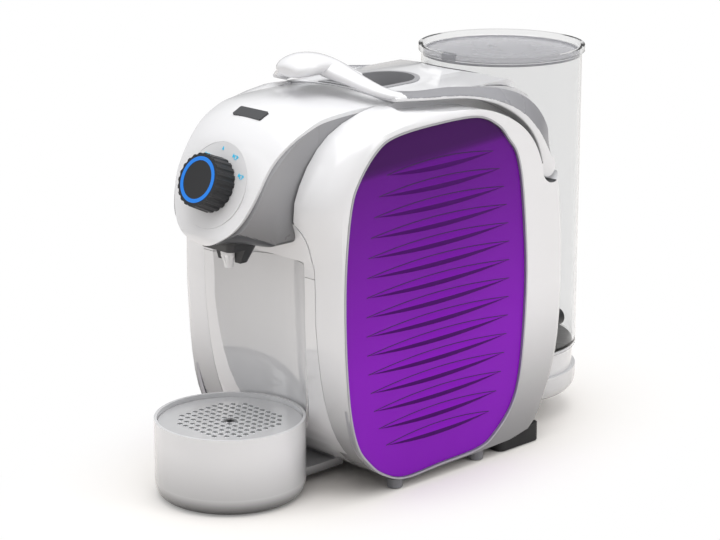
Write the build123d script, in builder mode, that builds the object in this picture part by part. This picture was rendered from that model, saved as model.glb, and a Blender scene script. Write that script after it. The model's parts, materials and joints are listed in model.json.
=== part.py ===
"""Pod coffee machine with a wishbone lever, a pull-out drip drawer and a round water tank at the back.

Frame: +Z up, the front faces -Y, the machine is mirrored about X = 0 and stands on Z = 0.
All sizes are in millimetres.
"""
from build123d import *
import os
from math import asin, atan2, cos, degrees, hypot, pi, radians, sin, sqrt

os.makedirs("parts", exist_ok=True)

# ---- driving sizes -----------------------------------------------------------------------------
half_width = 86.0  # from the middle to the flat side faces
shell = 2.6  # moulded wall
fit = 0.3  # gap between pieces that move against each other
seam = 0.4  # line between two fixed covers
foot_h = 7.2
foot_r = 6.0
foot_stem_r = 2.8
foot_top = 12.0
foot_x = 78.0
foot_ys = (-56.0, 32.0)

# side housings: they start at a plane beside the middle and crown out to the side face
housing_x = 52.0
crown_turns = (0, 20, 40, 58, 75, 90)  # rings along the crown's quarter turn, in degrees
loop_cuts = 2  # chords between two outline points
face_wall = 8.0  # thickness of the side wall under the panel
panel_depth = 5.0  # pocket that the panel drops into
panel_lip = 6.0  # ledge that carries the panel
panel_sink = 1.4  # the panel sits this far below the bezel
bezel_w = 1.5
panel_cuts = 6
bezel_rise = 0.5

# each row: Y and Z on the inner plane, then Y and Z on the side face
HOUSING = (
    (-50, 9.5, -54, 7.4), (-67, 11, -78, 16.3), (-85, 25, -92.6, 28.6), (-99, 43, -103, 42.6),
    (-108, 64, -110, 66), (-115, 93, -114, 99), (-120, 135, -116, 142), (-121, 176, -115, 183.5),
    (-133, 213, -110, 224), (-127, 238, -101.8, 243.2), (-109.5, 262, -85.5, 262),
    (-85, 277, -71, 270.2), (-44, 286, -27, 273.9), (24, 286.5, 24, 273.3), (62, 286, 55, 266),
    (90, 281, 80, 254), (109, 266, 98, 238), (121, 236, 108, 216), (129, 182, 114, 178),
    (130, 140, 116, 140), (129.5, 100, 115, 100), (126, 70, 110, 66), (111, 39, 100, 38),
    (106, 20, 86, 18), (90, 10, 62, 9.5), (-10, 8.5, -14.6, 7.8),
)
PANEL = (
    (-54, 8.9), (-77, 18), (-91, 30), (-101, 43.5), (-108, 66.5), (-112, 99), (-114, 142),
    (-113, 183), (-108, 223), (-100, 242), (-84, 260), (-66, 268.5), (-27, 271.7), (20, 270.8),
    (43.3, 261), (55.7, 248.4), (65, 236), (71, 213.5), (75.5, 175), (77.6, 140), (76.3, 100),
    (72, 60), (63, 36.7), (44, 18.5), (26, 11.5), (-14.6, 10),
)
rib_count = 15
rib_pitch = 14.6
rib_mid_y = -16.0
rib_mid_z = 140.0
rib_half_len = 76.0
rib_field_h = 131.0  # half height at which a rib would shrink to nothing
rib_rise = 2.4
rib_top = 4.8
rib_drop = 5.2

# cup bay, drawer and drip tray share one upright axis
tray_y = -150.0
tray_r = 56.0
tray_h = 59.0
tray_wall = 2.2
tray_floor_z = 15.0
base_h = 13.0
base_inset = 6.0
grid_drop = 3.5
grid_t = 1.6
grid_pitch = 6.4
grid_hole_r = 1.75
grid_field_r = 38.0
grid_square = 8.5
bay_gap = 2.0
bay_half = 60.5  # half width of the frame round the bay
bay_top = 214.0
bay_corner = 22.0
split_z = 169.5
ceiling_rise = 0.377  # the bay's ceiling climbs towards the front
frame_t = 3.0
bin_half = 46.0
bin_depth = 78.0
bin_h = 97.0
drawer_travel = 110.0

# head
dial_y = -161.3
dial_z = 235.5
dial_tilt = 23.0
dial_plate_r = 32.0
knob_r = 20.5
knob_len = 17.0
knob_flutes = 22
light_r = 17.0
light_w = 2.8
head_half = 50.0
cap_t = 2.8

cowl_t = 4.6
cheek_back_z = 216.0
head_low = 193.5
dial_plate_t = 1.2
shaft_r = 3.9
badge_w = 30.0
badge_h = 10.0
badge_sink = 1.4
badge_rise = 0.6
icon_count = 7
icon_spread = 150.0
icon_orbit = 26.7
icon_size = 3.6
icon_t = 0.35
knob_flute_r = 1.9
light_t = 1.2
encoder_w = 20.0
encoder_t = 9.0
encoder_gap = 0.7
bore_gap = 0.06

# back: power switch and cable gland on the rear edges, rubber pads under the back
switch_x = 72.5
switch_y = 121.0
switch_z = 110.0
switch_w = 9.0
switch_h = 22.0
gland_inset = 14.0
gland_y = 116.0
gland_z = 92.0
gland_r = 5.0
pad_x0 = 58.0
pad_x1 = 84.0
pad_y0 = 54.0
pad_y1 = 100.0
pad_h = 14.5

back_low = 13.0
back_wall = 2.4
bracket_half = 35.0
bracket_z0 = 20.0
bracket_z1 = 34.0

# spout under the head
spout_y = -148.8
spout_low = 177.0
spout_w_low = 24.0
spout_d_low = 20.0
spout_w_top = 38.0
spout_d_top = 30.0
nozzle_r = 6.0
nozzle_bore = 3.2
nozzle_tip = 172.5
nozzle_top = 189.0
bracket_lip_z = 188.0  # the bracket is open at the front below this
nozzle_ribs = 8
nozzle_rib_t = 1.0
bay_arch_back = -88.3

# base, frame and brewing unit
base_z0 = 9.6
base_z1 = 12.3
base_front = -61.1
screw_x = 40.0
screw_ys = (-40.0, 40.0)
screw_r = 1.6
frame_plate_t = 2.2
frame_y0 = -20.0
frame_y1 = 64.0
frame_top = 281.0
shelf_z_low = 114.0
shelf_z_high = 172.0
brew_z = 203.0
brew_wall = 4.0
brew_foot = 16.0
brew_y0 = -2.0
brew_y1 = 32.0
head_y0 = -42.0
head_y1 = -26.0
capsule_r = 16.0
piston_r = 18.0
piston_y0 = -22.0
piston_y1 = 24.0
seal_t = 2.5
boiler_r = 26.0
boiler_y = 34.0
pump_y = 34.0
pump_z = 48.0
pump_r = 22.0
pump_x0 = -34.0
pump_x1 = 24.0
pump_feet = (-22.0, 12.0)
meter_x = -34.0
meter_y = 50.0
meter_r = 11.0
meter_t = 14.0
board_t = 1.6
hose_r = 3.0
riser_x = 43.5
riser_top = 155.0
hose_wall = 0.9

# drawer, tray and tank details
wall_ring = 2.6
sill_z = 13.0
floor_t = 1.9
bin_wall = 1.8
base_foot = 0.4
link_half = 28.0
link_z0 = 6.0
tray_ledge = 2.0
valve_r = 4.0
nipple_r = 7.0
nipple_len = 9.6
rim_h = 6.0
lid_r = 62.0
lid_sink = 7.6
lid_t = 1.8
lid_tab_w = 12.0
neck_wall = 2.6
bracket_y = 66.0
socket_z = 44.0
socket_r = 10.5
rocker_w = 6.4
rocker_h = 18.0
rocker_y = 124.5
rocker_pin_r = 1.0
gland_bore = 3.2
arm_round = 1.2
pin_in = 60.5
pin_out = 79.0
boss_r = 8.0
hug_x = 60.3

# top
deck_z = 290.0
deck_side_z = 286.5
deck_t = 4.0
deck_half = 57.2
deck_gap = 0.6  # between the deck and the arms' trench
deck_front = -38.0
chute_y = 10.0
chute_r = 22.6
chute_rim = 4.0
chute_front = -30.0
chute_floor = 232.0
chute_wall = 1.8
chute_rise = 0.7
deck_skirt = 12.0

# lever
pivot_y = 107.0
pivot_z = 219.0
pivot_r = 3.0
hook_r = 8.0
trench_r = 10.5
arm_in = 67.0
arm_out = 81.0
arm_clear = 0.7
arm_gap = 1.2
trench_wall = 2.4
trench_front = -45.9
step_y0 = 48.0  # between these the arms move out to clear the tank
step_y1 = 110.0

# water tank
tank_y = 140.3
tank_r = 63.5
tank_rim_r = 65.7
tank_wall = 2.0
tank_foot_z = 55.6
tank_top = 300.0
hug = 1.3  # air between the tank rim and the covers that hug it
shelf_low = 18.0
shelf_top = 37.5
neck_r = 61.0
cup_r = 63.9

# ---- shared construction -----------------------------------------------------------------------
bay_r = tray_r + bay_gap
base_r = tray_r - base_inset
gland_x = half_width - gland_inset
arm_in_front = deck_half + deck_gap
hug_r = tank_rim_r + hug


def moved_in(points, distance):
    """A closed loop of (y, z) points moved in by a distance; the loop runs clockwise."""
    moved = []
    for i, (y, z) in enumerate(points):
        y0, z0 = points[i - 1]
        y1, z1 = points[(i + 1) % len(points)]
        run = hypot(y1 - y0, z1 - z0)
        moved.append((y + (z1 - z0) / run * distance, z - (y1 - y0) / run * distance))
    return moved


def even_loop(points, cuts):
    """A closed smooth loop through the (y, z) points, each stretch cut into short chords."""
    count = len(points)
    loop = []
    for i in range(count):
        corners = (points[i - 1], points[i], points[(i + 1) % count], points[(i + 2) % count])
        for k in range(cuts):
            t = k / cuts
            loop.append(tuple(
                0.5 * (2 * b + (c - a) * t + (2 * a - 5 * b + 4 * c - d) * t ** 2
                       + (3 * b - a - 3 * c + d) * t ** 3)
                for a, b, c, d in zip(*corners)))
    return loop


def housing_form(inset, x_start, x_end):
    """The full crowned solid of the right housing between two planes, moved in by inset."""
    rim = moved_in([(row[0], row[1]) for row in HOUSING], inset)
    face = moved_in([(row[2], row[3]) for row in HOUSING], inset)
    rings = []
    for turn in (radians(degs) for degs in crown_turns):
        share = 1 - cos(turn)
        x = x_start + (x_end - x_start) * sin(turn)
        loop = [(a[0] + (b[0] - a[0]) * share, a[1] + (b[1] - a[1]) * share)
                for a, b in zip(rim, face)]
        rings.append([Vector(x, y, z) for y, z in even_loop(loop, loop_cuts)])
    facets = [rings[0], rings[-1]]
    for low, high in zip(rings, rings[1:]):
        for i in range(len(low)):
            j = (i + 1) % len(low)
            facets += [[low[i], low[j], high[j]], [low[i], high[j], high[i]]]
    return Solid(Shell([Face(Wire.make_polygon(corners, close=True)) for corners in facets]))


def side_loop(x, points, depth):
    """A closed smooth loop of (y, z) points on the plane X = x, extruded outwards by depth."""
    with BuildPart() as prism:
        with BuildSketch(Plane.YZ.offset(x)):
            with BuildLine():
                Polyline(*even_loop(points, panel_cuts), close=True)
            make_face()
        extrude(amount=depth)
    return prism.part


def tank_void(radius, z_low):
    """Everything inside an upright cylinder on the tank's axis, above z_low."""
    with BuildPart() as void:
        with BuildSketch(Plane.XY.offset(z_low)):
            with Locations((0, tank_y)):
                Circle(radius)
        extrude(amount=deck_z + 60 - z_low)
    return void.part


def bay_void(radius, z_low, z_high):
    """Everything inside an upright cylinder on the tray's axis."""
    with BuildPart() as void:
        with BuildSketch(Plane.XY.offset(z_low)):
            with Locations((0, tray_y)):
                Circle(radius)
        extrude(amount=z_high - z_low)
    return void.part


def arch_block(grow, y_front, y_back):
    """The frame round the cup bay as seen from the front: straight sides and round top corners."""
    half = bay_half + grow
    top = bay_top + grow
    with BuildPart() as block:
        with BuildSketch(Plane.XZ.offset(-y_front)) as face:
            with Locations((0, top / 2)):
                Rectangle(2 * half, top)
            fillet(face.vertices().group_by(Axis.Y)[-1], bay_corner)
        extrude(amount=y_front - y_back)
    return block.part




def middle_form(grow, half, depth_in=0.0):
    """The body between the housings, from their inner outline, as wide as twice half."""
    rim = even_loop(moved_in([(row[0], row[1]) for row in HOUSING], depth_in - grow), loop_cuts)
    with BuildPart() as form:
        with BuildSketch(Plane.YZ.offset(-half)):
            with BuildLine():
                Polyline(*rim, close=True)
            make_face()
        extrude(amount=2 * half)
    return form.part


def slab(x0, x1, y0, y1, z0, z1):
    """A plain block between two corners."""
    with BuildPart() as block:
        with BuildSketch(Plane.XY.offset(z0)):
            with Locations(((x0 + x1) / 2, (y0 + y1) / 2)):
                Rectangle(x1 - x0, y1 - y0)
        extrude(amount=z1 - z0)
    return block.part


def below_ceiling(drop, y_front):
    """Everything under the bay's sloping ceiling, lowered by drop."""
    z_back = split_z - drop
    z_front = z_back + (bay_back_y - y_front) * ceiling_rise
    with BuildPart() as wedge:
        with BuildSketch(Plane.YZ.offset(-half_width)):
            with BuildLine():
                Polyline((y_front, -5), (y_front, z_front), (bay_back_y, z_back), (0, z_back), (0, -5),
                         close=True)
            make_face()
        extrude(amount=2 * half_width)
    return wedge.part


def rod_x(radius, x0, x1, y, z):
    """A round bar along X."""
    with BuildPart() as bar:
        with BuildSketch(Plane.YZ.offset(x0)):
            with Locations((y, z)):
                Circle(radius)
        extrude(amount=x1 - x0)
    return bar.part


def rod_z(radius, x, y, z0, z1):
    """A round bar along Z."""
    with BuildPart() as bar:
        with BuildSketch(Plane.XY.offset(z0)):
            with Locations((x, y)):
                Circle(radius)
        extrude(amount=z1 - z0)
    return bar.part


def rod_y(radius, x, y0, y1, z):
    """A round bar along Y."""
    with BuildPart() as bar:
        with BuildSketch(Plane.XZ.offset(-y1)):
            with Locations((x, z)):
                Circle(radius)
        extrude(amount=y1 - y0)
    return bar.part


bay_back_y = tray_y + bay_r
dial_plane = Plane(origin=(0, dial_y, dial_z), x_dir=(1, 0, 0),
                   z_dir=(0, -cos(radians(dial_tilt)), sin(radians(dial_tilt))))

badge_plane = Plane(origin=(0, -126, 282.7), x_dir=(1, 0, 0), z_dir=(0, -0.44, 0.9))

# ---- lever outline that the covers leave room for ----------------------------------------------
# lower edge of the arms and hooks in Y and Z, front to back, down to the round end at the pivot
ARM_LOW = ((-46, 283.5), (-17, 281), (10, 279), (30, 276.3), (46, 271.5), (60, 265), (73, 256.5),
           (84, 245.5), (91.5, 233), (pivot_y - trench_r - 0.5, pivot_z + 3))


def trench_block(drop, back_off):
    """The room for an arm and its hook: all above the arm's low edge less drop, outboard of a line
    that follows the arm's inner face, moved towards the middle by back_off."""
    low_points = [(y - drop * 0.5 if y > 40 else y, z - drop) for y, z in ARM_LOW[:-1]]
    low_points.append((pivot_y - trench_r - drop, pivot_z))
    reach = trench_r + drop
    back_z = pivot_z - reach * 0.423
    front_x = arm_in_front - back_off
    hook_x = arm_in - fit - back_off
    with BuildPart() as block:
        with BuildSketch(Plane.YZ.offset(housing_x - 10)):
            with BuildLine():
                low = Spline(*low_points)
                turn = ThreePointArc(low @ 1, (pivot_y, pivot_z - reach),
                                     (pivot_y + reach * 0.906, back_z))
                Polyline(turn @ 1, (tank_y, back_z), (tank_y, 340), (-46, 340), low @ 0)
            make_face()
        extrude(amount=50)
        with BuildPart(mode=Mode.PRIVATE) as plan:
            with BuildSketch(Plane.XY.offset(100)):
                with BuildLine():
                    Polyline((front_x, trench_front), (front_x, step_y0), (hook_x, step_y1),
                             (hook_x, tank_y - 1), (half_width + 2, tank_y - 1),
                             (half_width + 2, trench_front), close=True)
                make_face()
            extrude(amount=245)
        add(plan.part, mode=Mode.INTERSECT)
    return block.part


# ---- side housings -----------------------------------------------------------------------------
outer_form = housing_form(0, housing_x, half_width)
with BuildPart() as housing_room:
    add(housing_form(shell, housing_x - 1, half_width - face_wall))
    add(trench_block(arm_gap + trench_wall, trench_wall), mode=Mode.SUBTRACT)
    add(tank_void(hug_r + back_wall, back_low), mode=Mode.SUBTRACT)
    add(rod_x(boss_r, hug_x, arm_in - seam, pivot_y, pivot_z), mode=Mode.SUBTRACT)
    for y in foot_ys:
        add(rod_z(foot_stem_r + 2.4, foot_x, y, 0, foot_top + 2), mode=Mode.SUBTRACT)

with BuildPart() as side_housing:
    add(outer_form)
    add(housing_room.part, mode=Mode.SUBTRACT)
    add(trench_block(arm_gap, 0), mode=Mode.SUBTRACT)
    add(side_loop(half_width - panel_depth, moved_in(PANEL, -bezel_w), 20), mode=Mode.SUBTRACT)
    add(side_loop(half_width - face_wall - 4, moved_in(PANEL, panel_lip), 30), mode=Mode.SUBTRACT)
    add(arch_block(seam, -160, -88), mode=Mode.SUBTRACT)
    add(slab(0, deck_half + seam, deck_front - seam, tank_y, deck_side_z - deck_t, 320),
        mode=Mode.SUBTRACT)
    add(tank_void(hug_r, 10), mode=Mode.SUBTRACT)
    add(rod_x(pivot_r + 0.05, 55, 75, pivot_y, pivot_z), mode=Mode.SUBTRACT)
    for y in foot_ys:
        add(rod_z(foot_stem_r + 0.1, foot_x, y, -5, foot_top), mode=Mode.SUBTRACT)

with BuildPart() as side_housing_left:
    mirror(side_housing.part, about=Plane.YZ)
    add(slab(-switch_x - switch_w / 2, -switch_x + switch_w / 2, switch_y - 6, 140,
             switch_z - switch_h / 2, switch_z + switch_h / 2), mode=Mode.SUBTRACT)
side_housing_left.part.label = "side_housing_left"
export_step(side_housing_left.part, "parts/side_housing_left.step")
with BuildPart() as side_housing_right:
    add(side_housing.part)
    add(rod_y(gland_r, gland_x, gland_y, 140, gland_z), mode=Mode.SUBTRACT)
side_housing_right.part.label = "side_housing_right"
export_step(side_housing_right.part, "parts/side_housing_right.step")

# ---- side panels, bezels and feet ---------------------------------------------------------------
panel_x = half_width - panel_sink
panel_inner_x = half_width - panel_depth
ridge_x = panel_x + rib_rise

with BuildPart() as side_panel:
    add(side_loop(panel_inner_x, moved_in(PANEL, 0.2), panel_x - panel_inner_x))
    for i in range(rib_count):
        z = rib_mid_z + (i - (rib_count - 1) / 2) * rib_pitch
        half = rib_half_len * (1 - (abs(z - rib_mid_z) / rib_field_h) ** 2.5) ** 0.4
        radius = (half ** 2 + rib_rise ** 2) / (2 * rib_rise)
        swing = degrees(asin(half / radius)) * 1.03
        axis_x = ridge_x - radius
        start = Plane(origin=(axis_x, rib_mid_y, z),
                      x_dir=(cos(radians(swing)), -sin(radians(swing)), 0),
                      z_dir=(-sin(radians(swing)), -cos(radians(swing)), 0))
        base = radius - rib_rise - 0.4
        with BuildSketch(start):
            with BuildLine():
                Polyline((base, rib_top), (radius, 0), (base, -rib_drop), close=True)
            make_face()
        revolve(axis=Axis((axis_x, rib_mid_y, 0), (0, 0, 1)), revolution_arc=2 * swing)

with BuildPart() as panel_bezel:
    with BuildSketch(Plane.YZ.offset(panel_inner_x)):
        with BuildLine():
            Polyline(*even_loop(moved_in(PANEL, -bezel_w + 0.05), panel_cuts), close=True)
        make_face()
        with BuildLine():
            Polyline(*even_loop(PANEL, panel_cuts), close=True)
        make_face(mode=Mode.SUBTRACT)
    extrude(amount=panel_depth + bezel_rise)

for name, right in (("side_panel", side_panel), ("panel_bezel", panel_bezel)):
    right.part.label = f"{name}_right"
    export_step(right.part, f"parts/{name}_right.step")
    with BuildPart() as left:
        mirror(right.part, about=Plane.YZ)
    left.part.label = f"{name}_left"
    export_step(left.part, f"parts/{name}_left.step")

with BuildPart() as feet:
    for x in (-foot_x, foot_x):
        for y in foot_ys:
            add(rod_z(foot_r, x, y, 0, foot_h))
            add(rod_z(foot_stem_r, x, y, foot_h, foot_top))
    fillet(feet.edges().filter_by(GeomType.CIRCLE).group_by(Axis.Z)[0], 0.8)
feet.part.label = "feet"
export_step(feet.part, "parts/feet.step")

with BuildPart() as rear_pads:
    for side in (-1, 1):
        with BuildSketch() as pad:
            with Locations((side * (pad_x0 + pad_x1) / 2, (pad_y0 + pad_y1) / 2)):
                RectangleRounded(pad_x1 - pad_x0, pad_y1 - pad_y0, 6)
        extrude(amount=pad_h)
    fillet(rear_pads.edges().group_by(Axis.Z)[0], 1.0)
    add(outer_form, mode=Mode.SUBTRACT)
    mirror(outer_form, about=Plane.YZ, mode=Mode.SUBTRACT)
rear_pads.part.label = "rear_pads"
export_step(rear_pads.part, "parts/rear_pads.step")

# ---- head: cap, cowl, dial, badge plate ---------------------------------------------------------
CAP_MID = ((deck_front, deck_z - 0.3), (-70, 289.8), (-95, 289), (-112, 286.8), (-128.4, 281.7),
           (-140, 273.5), (-148.8, 265), (-161.3, 235.5), (-173.8, 206), (-176, 199), (-174, head_low))
CAP_EDGE = ((deck_front, 285), (-70, 284.7), (-95, 283.2), (-107, 281.3), (-118, 277), (-129, 271),
            (-140, 261.5), (-159, 236.5), (-171, 206), (-173, 199), (-171, head_low))
HEAD_FRONT = ((47, 272), (44.5, 262), (41.6, 251), (41, 237), (35.6, 224), (27.2, 208), (17.8, 200.5),
              (9, 195.2))
HEAD_MID = ((50, 272), (49.2, 262), (48.5, 251), (48.5, 237), (49, 224), (50, 208), (48, 198),
            (38, 194))
HEAD_BACK = ((51.6, 272), (51.6, 262), (51.6, 251), (51.6, 237), (51.6, 224), (51.4, 208),
             (49, 198), (38, 194))
TONGUE = ((51.5, 284), (50, 272), (47.3, 262), (45.3, 251), (43.8, 237), (40, 224), (31, 208.5),
          (21, 200.5))


def moved_open(points, distance):
    """An open row of (y, z) points, from the deck forwards and down, moved in by a distance."""
    moved = []
    last = len(points) - 1
    for i, (y, z) in enumerate(points):
        y0, z0 = points[max(i - 1, 0)]
        y1, z1 = points[min(i + 1, last)]
        run = hypot(y1 - y0, z1 - z0)
        moved.append((y - (z1 - z0) / run * distance, z + (y1 - y0) / run * distance))
    return moved


def head_core(inset):
    """The head's crowned volume from side to side, its outer skin moved in by inset."""
    with BuildPart() as core:
        for x, skin in ((-head_half - 2, CAP_EDGE), (0, CAP_MID), (head_half + 2, CAP_EDGE)):
            points = moved_open(skin, inset)
            back = deck_front + inset
            points[0] = (back, points[0][1])
            low = head_low - 4 - inset
            with BuildSketch(Plane.YZ.offset(x)):
                with BuildLine():
                    top = Spline(*points)
                    Polyline(top @ 1, (points[-1][0], low), (back, low), top @ 0)
                make_face()
        loft()
    return core.part


def head_outline(y, half_points, inset, low_z):
    """A front view outline of the head: flat top, sides through half_points, round bottom."""
    right = [(x - inset, z + inset * 0.3) for x, z in half_points]
    bottom = (0, low_z + inset)
    with BuildSketch(Plane.XZ.offset(-y)) as face:
        with BuildLine():
            side = Spline(*right, bottom, *[(-x, z) for x, z in reversed(right)])
            Polyline(side @ 1, (-right[0][0], 300), (right[0][0], 300), side @ 0)
        make_face()
    return face.sketch


def head_width(inset):
    """The head seen from the front, widening from the cap's edge back to the housings."""
    with BuildPart() as body:
        for y, half_points in ((-178, HEAD_FRONT), (-146, HEAD_MID), (-104 + inset, HEAD_BACK)):
            add(head_outline(y, half_points, inset, head_low))
        loft(ruled=True)
    return body.part


cap_outline = head_outline(-30, TONGUE, 0, head_low)
cap_core = head_core(0)
with BuildPart() as head_cap:
    add(extrude(cap_outline, amount=160))
    add(cap_core, mode=Mode.INTERSECT)
    add(head_core(cap_t), mode=Mode.SUBTRACT)
    add(slab(-60, 60, deck_front, 0, 150, 320), mode=Mode.SUBTRACT)
    with BuildSketch(dial_plane.offset(-dial_plate_t)):
        Circle(dial_plate_r + 0.1)
    extrude(amount=10, mode=Mode.SUBTRACT)
    with BuildSketch(dial_plane):
        Circle(shaft_r + 0.3)
    extrude(amount=-20, mode=Mode.SUBTRACT)
    with BuildSketch(badge_plane.offset(-badge_sink)):
        RectangleRounded(badge_w, badge_h, 1.5)
    extrude(amount=10, mode=Mode.SUBTRACT)
head_cap.part.label = "head_cap"
export_step(head_cap.part, "parts/head_cap.step")

front_block = arch_block(seam, -160, -88)
with BuildPart() as head_cowl:
    add(head_width(0))
    add(head_core(cap_t), mode=Mode.INTERSECT)
    add(head_width(cowl_t), mode=Mode.SUBTRACT)
    with BuildPart(mode=Mode.PRIVATE) as body_front:
        add(middle_form(seam, half_width))
        add(front_block, mode=Mode.INTERSECT)
    add(body_front.part, mode=Mode.SUBTRACT)
    with BuildPart(mode=Mode.PRIVATE) as cheek_backs:
        for side in (-1, 1):
            add(slab(side * 50.3 - 1.3, side * 50.3 + 1.3, -107, -46, cheek_back_z, 300))
        add(head_core(cap_t), mode=Mode.INTERSECT)
    add(cheek_backs.part)
    add(rod_z(hose_r + fit, 0, spout_y, 180, head_low + 2 * cowl_t), mode=Mode.SUBTRACT)
head_cowl.part.label = "head_cowl"
export_step(head_cowl.part, "parts/head_cowl.step")

# ---- dial -------------------------------------------------------------------------------------
with BuildPart() as dial_plate:
    with BuildSketch(dial_plane.offset(-dial_plate_t)):
        Circle(dial_plate_r)
        Circle(shaft_r + fit, mode=Mode.SUBTRACT)
    extrude(amount=dial_plate_t)
dial_plate.part.label = "dial_plate"
export_step(dial_plate.part, "parts/dial_plate.step")

with BuildPart() as dial_icons:
    with BuildSketch(dial_plane):
        for i in range(icon_count):
            turn = icon_spread * (0.5 - i / (icon_count - 1))
            with Locations(Location((icon_orbit * sin(radians(turn)) * -1,
                                     icon_orbit * cos(radians(turn)), 0))):
                if i % 2 == 0:
                    Circle(icon_size / 2)
                    with Locations((0, icon_size * 0.42)):
                        RegularPolygon(icon_size * 0.36, 3, rotation=90)
                else:
                    RectangleRounded(icon_size, icon_size * 0.8, 0.6)
    extrude(amount=icon_t)
dial_icons.part.label = "dial_icons"
export_step(dial_icons.part, "parts/dial_icons.step")

with BuildPart() as dial_knob:
    with BuildSketch(dial_plane.offset(fit)):
        Circle(knob_r)
        with PolarLocations(knob_r + knob_flute_r * 0.55, knob_flutes):
            Circle(knob_flute_r, mode=Mode.SUBTRACT)
    extrude(amount=knob_len, taper=2.2)
    with BuildSketch(dial_plane.offset(fit + knob_len)):
        Circle(light_r)
    extrude(amount=-light_t, mode=Mode.SUBTRACT)
    with BuildSketch(dial_plane.offset(fit)):
        Circle(shaft_r - bore_gap)
    extrude(amount=-(cap_t + fit + encoder_t))
dial_knob.part.label = "dial_knob"
export_step(dial_knob.part, "parts/dial_knob.step")

with BuildPart() as dial_light_ring:
    with BuildSketch(dial_plane.offset(fit + knob_len - light_t)):
        Circle(light_r)
        Circle(light_r - light_w, mode=Mode.SUBTRACT)
    extrude(amount=light_t + 0.3)
dial_light_ring.part.label = "dial_light_ring"
export_step(dial_light_ring.part, "parts/dial_light_ring.step")

with BuildPart() as dial_face:
    with BuildSketch(dial_plane.offset(fit + knob_len - light_t)):
        Circle(light_r - light_w)
    extrude(amount=light_t)
dial_face.part.label = "dial_face"
export_step(dial_face.part, "parts/dial_face.step")

with BuildPart() as dial_encoder:
    with BuildSketch(dial_plane.offset(-cap_t - encoder_gap)):
        RectangleRounded(encoder_w, encoder_w, 2)
        Circle(shaft_r, mode=Mode.SUBTRACT)
    extrude(amount=-encoder_t)
dial_encoder.part.label = "dial_encoder"
export_step(dial_encoder.part, "parts/dial_encoder.step")

with BuildPart() as badge_plate:
    with BuildSketch(badge_plane.offset(-badge_sink)):
        RectangleRounded(badge_w - 0.2, badge_h - 0.2, 1.4)
    extrude(amount=badge_sink + badge_rise)
badge_plate.part.label = "badge_plate"
export_step(badge_plate.part, "parts/badge_plate.step")

# ---- spout -------------------------------------------------------------------------------------
with BuildPart() as spout_bracket:
    with BuildSketch(Plane.XY.offset(spout_low)):
        with Locations((0, spout_y)):
            RectangleRounded(spout_w_low, spout_d_low, 5)
    with BuildSketch(Plane.XY.offset(head_low)):
        with Locations((0, spout_y)):
            RectangleRounded(spout_w_top, spout_d_top, 5)
    loft()
    with BuildSketch(Plane.XY.offset(head_low)):
        with Locations((0, spout_y)):
            RectangleRounded(spout_w_top, spout_d_top, 5)
    extrude(amount=5)
    add(head_width(0), mode=Mode.SUBTRACT)
    add(slab(-30, 30, spout_y - 30, spout_y + 0.5, spout_low - 1, bracket_lip_z),
        mode=Mode.SUBTRACT)
    add(rod_z(nozzle_r, 0, spout_y, spout_low - 1, nozzle_top), mode=Mode.SUBTRACT)
    add(rod_z(hose_r + fit, 0, spout_y, nozzle_top - 1, head_low + 9), mode=Mode.SUBTRACT)
spout_bracket.part.label = "spout_bracket"
export_step(spout_bracket.part, "parts/spout_bracket.step")

with BuildPart() as spout_nozzle:
    with BuildSketch(Plane.XZ.offset(-spout_y)):
        with BuildLine():
            Polyline((nozzle_bore - 1, nozzle_tip), (nozzle_bore, nozzle_tip),
                     (nozzle_bore + 0.5, nozzle_tip + 5), (nozzle_r - 1.4, nozzle_top - 8),
                     (nozzle_r, nozzle_top - 6), (nozzle_r, nozzle_top),
                     (nozzle_bore - 1, nozzle_top), close=True)
        make_face()
    revolve(axis=Axis((0, spout_y, 0), (0, 0, 1)))
    for i in range(nozzle_ribs):
        with BuildPart(mode=Mode.PRIVATE) as rib:
            with BuildSketch(Plane.XZ):
                with BuildLine():
                    Polyline((nozzle_bore - 0.5, nozzle_tip + 2), (nozzle_bore, nozzle_tip + 2),
                             (nozzle_r - 0.3, nozzle_top - 8), (nozzle_r - 0.3, nozzle_top - 5),
                             (nozzle_bore - 0.5, nozzle_top - 5), close=True)
                make_face()
            extrude(amount=nozzle_rib_t / 2, both=True)
        add(rib.part.rotate(Axis.Z, 360 * i / nozzle_ribs).moved(Location((0, spout_y, 0))))
spout_nozzle.part.label = "spout_nozzle"
export_step(spout_nozzle.part, "parts/spout_nozzle.step")

# ---- frame round the cup bay ---------------------------------------------------------------------
with BuildPart() as bay_arch:
    add(arch_block(0, -160, bay_arch_back))
    add(slab(-half_width, half_width, -161, 0, -1, split_z), mode=Mode.SUBTRACT)
    add(middle_form(0, half_width), mode=Mode.INTERSECT)
    with BuildPart(mode=Mode.PRIVATE) as bay_top_void:
        add(bay_void(bay_r, split_z - 1, 260))
        add(below_ceiling(0, -175), mode=Mode.INTERSECT)
    add(bay_top_void.part, mode=Mode.SUBTRACT)
    with BuildPart(mode=Mode.PRIVATE) as arch_hollow:
        add(slab(frame_t - bay_half, bay_half - frame_t, -160, bay_arch_back + 1, split_z - 1,
                 bay_top - frame_t))
        add(middle_form(0, half_width, frame_t), mode=Mode.INTERSECT)
        with BuildPart(mode=Mode.PRIVATE) as kept_wall:
            add(bay_void(bay_r + frame_t, split_z - 2, 260))
            add(below_ceiling(-frame_t, -175), mode=Mode.INTERSECT)
        add(kept_wall.part, mode=Mode.SUBTRACT)
    add(arch_hollow.part, mode=Mode.SUBTRACT)
bay_arch.part.label = "bay_arch"
export_step(bay_arch.part, "parts/bay_arch.step")

# ---- top deck, capsule chute, back wall ---------------------------------------------------------
DECK_BACK = ((deck_front + seam, deck_z + 0.6), (0, deck_z + 0.6), (45, deck_z + 0.6),
             (73, deck_z + 0.4), (85, deck_z - 3.6), (95.7, deck_z - 8.6), (107, deck_z - 17))


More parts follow.
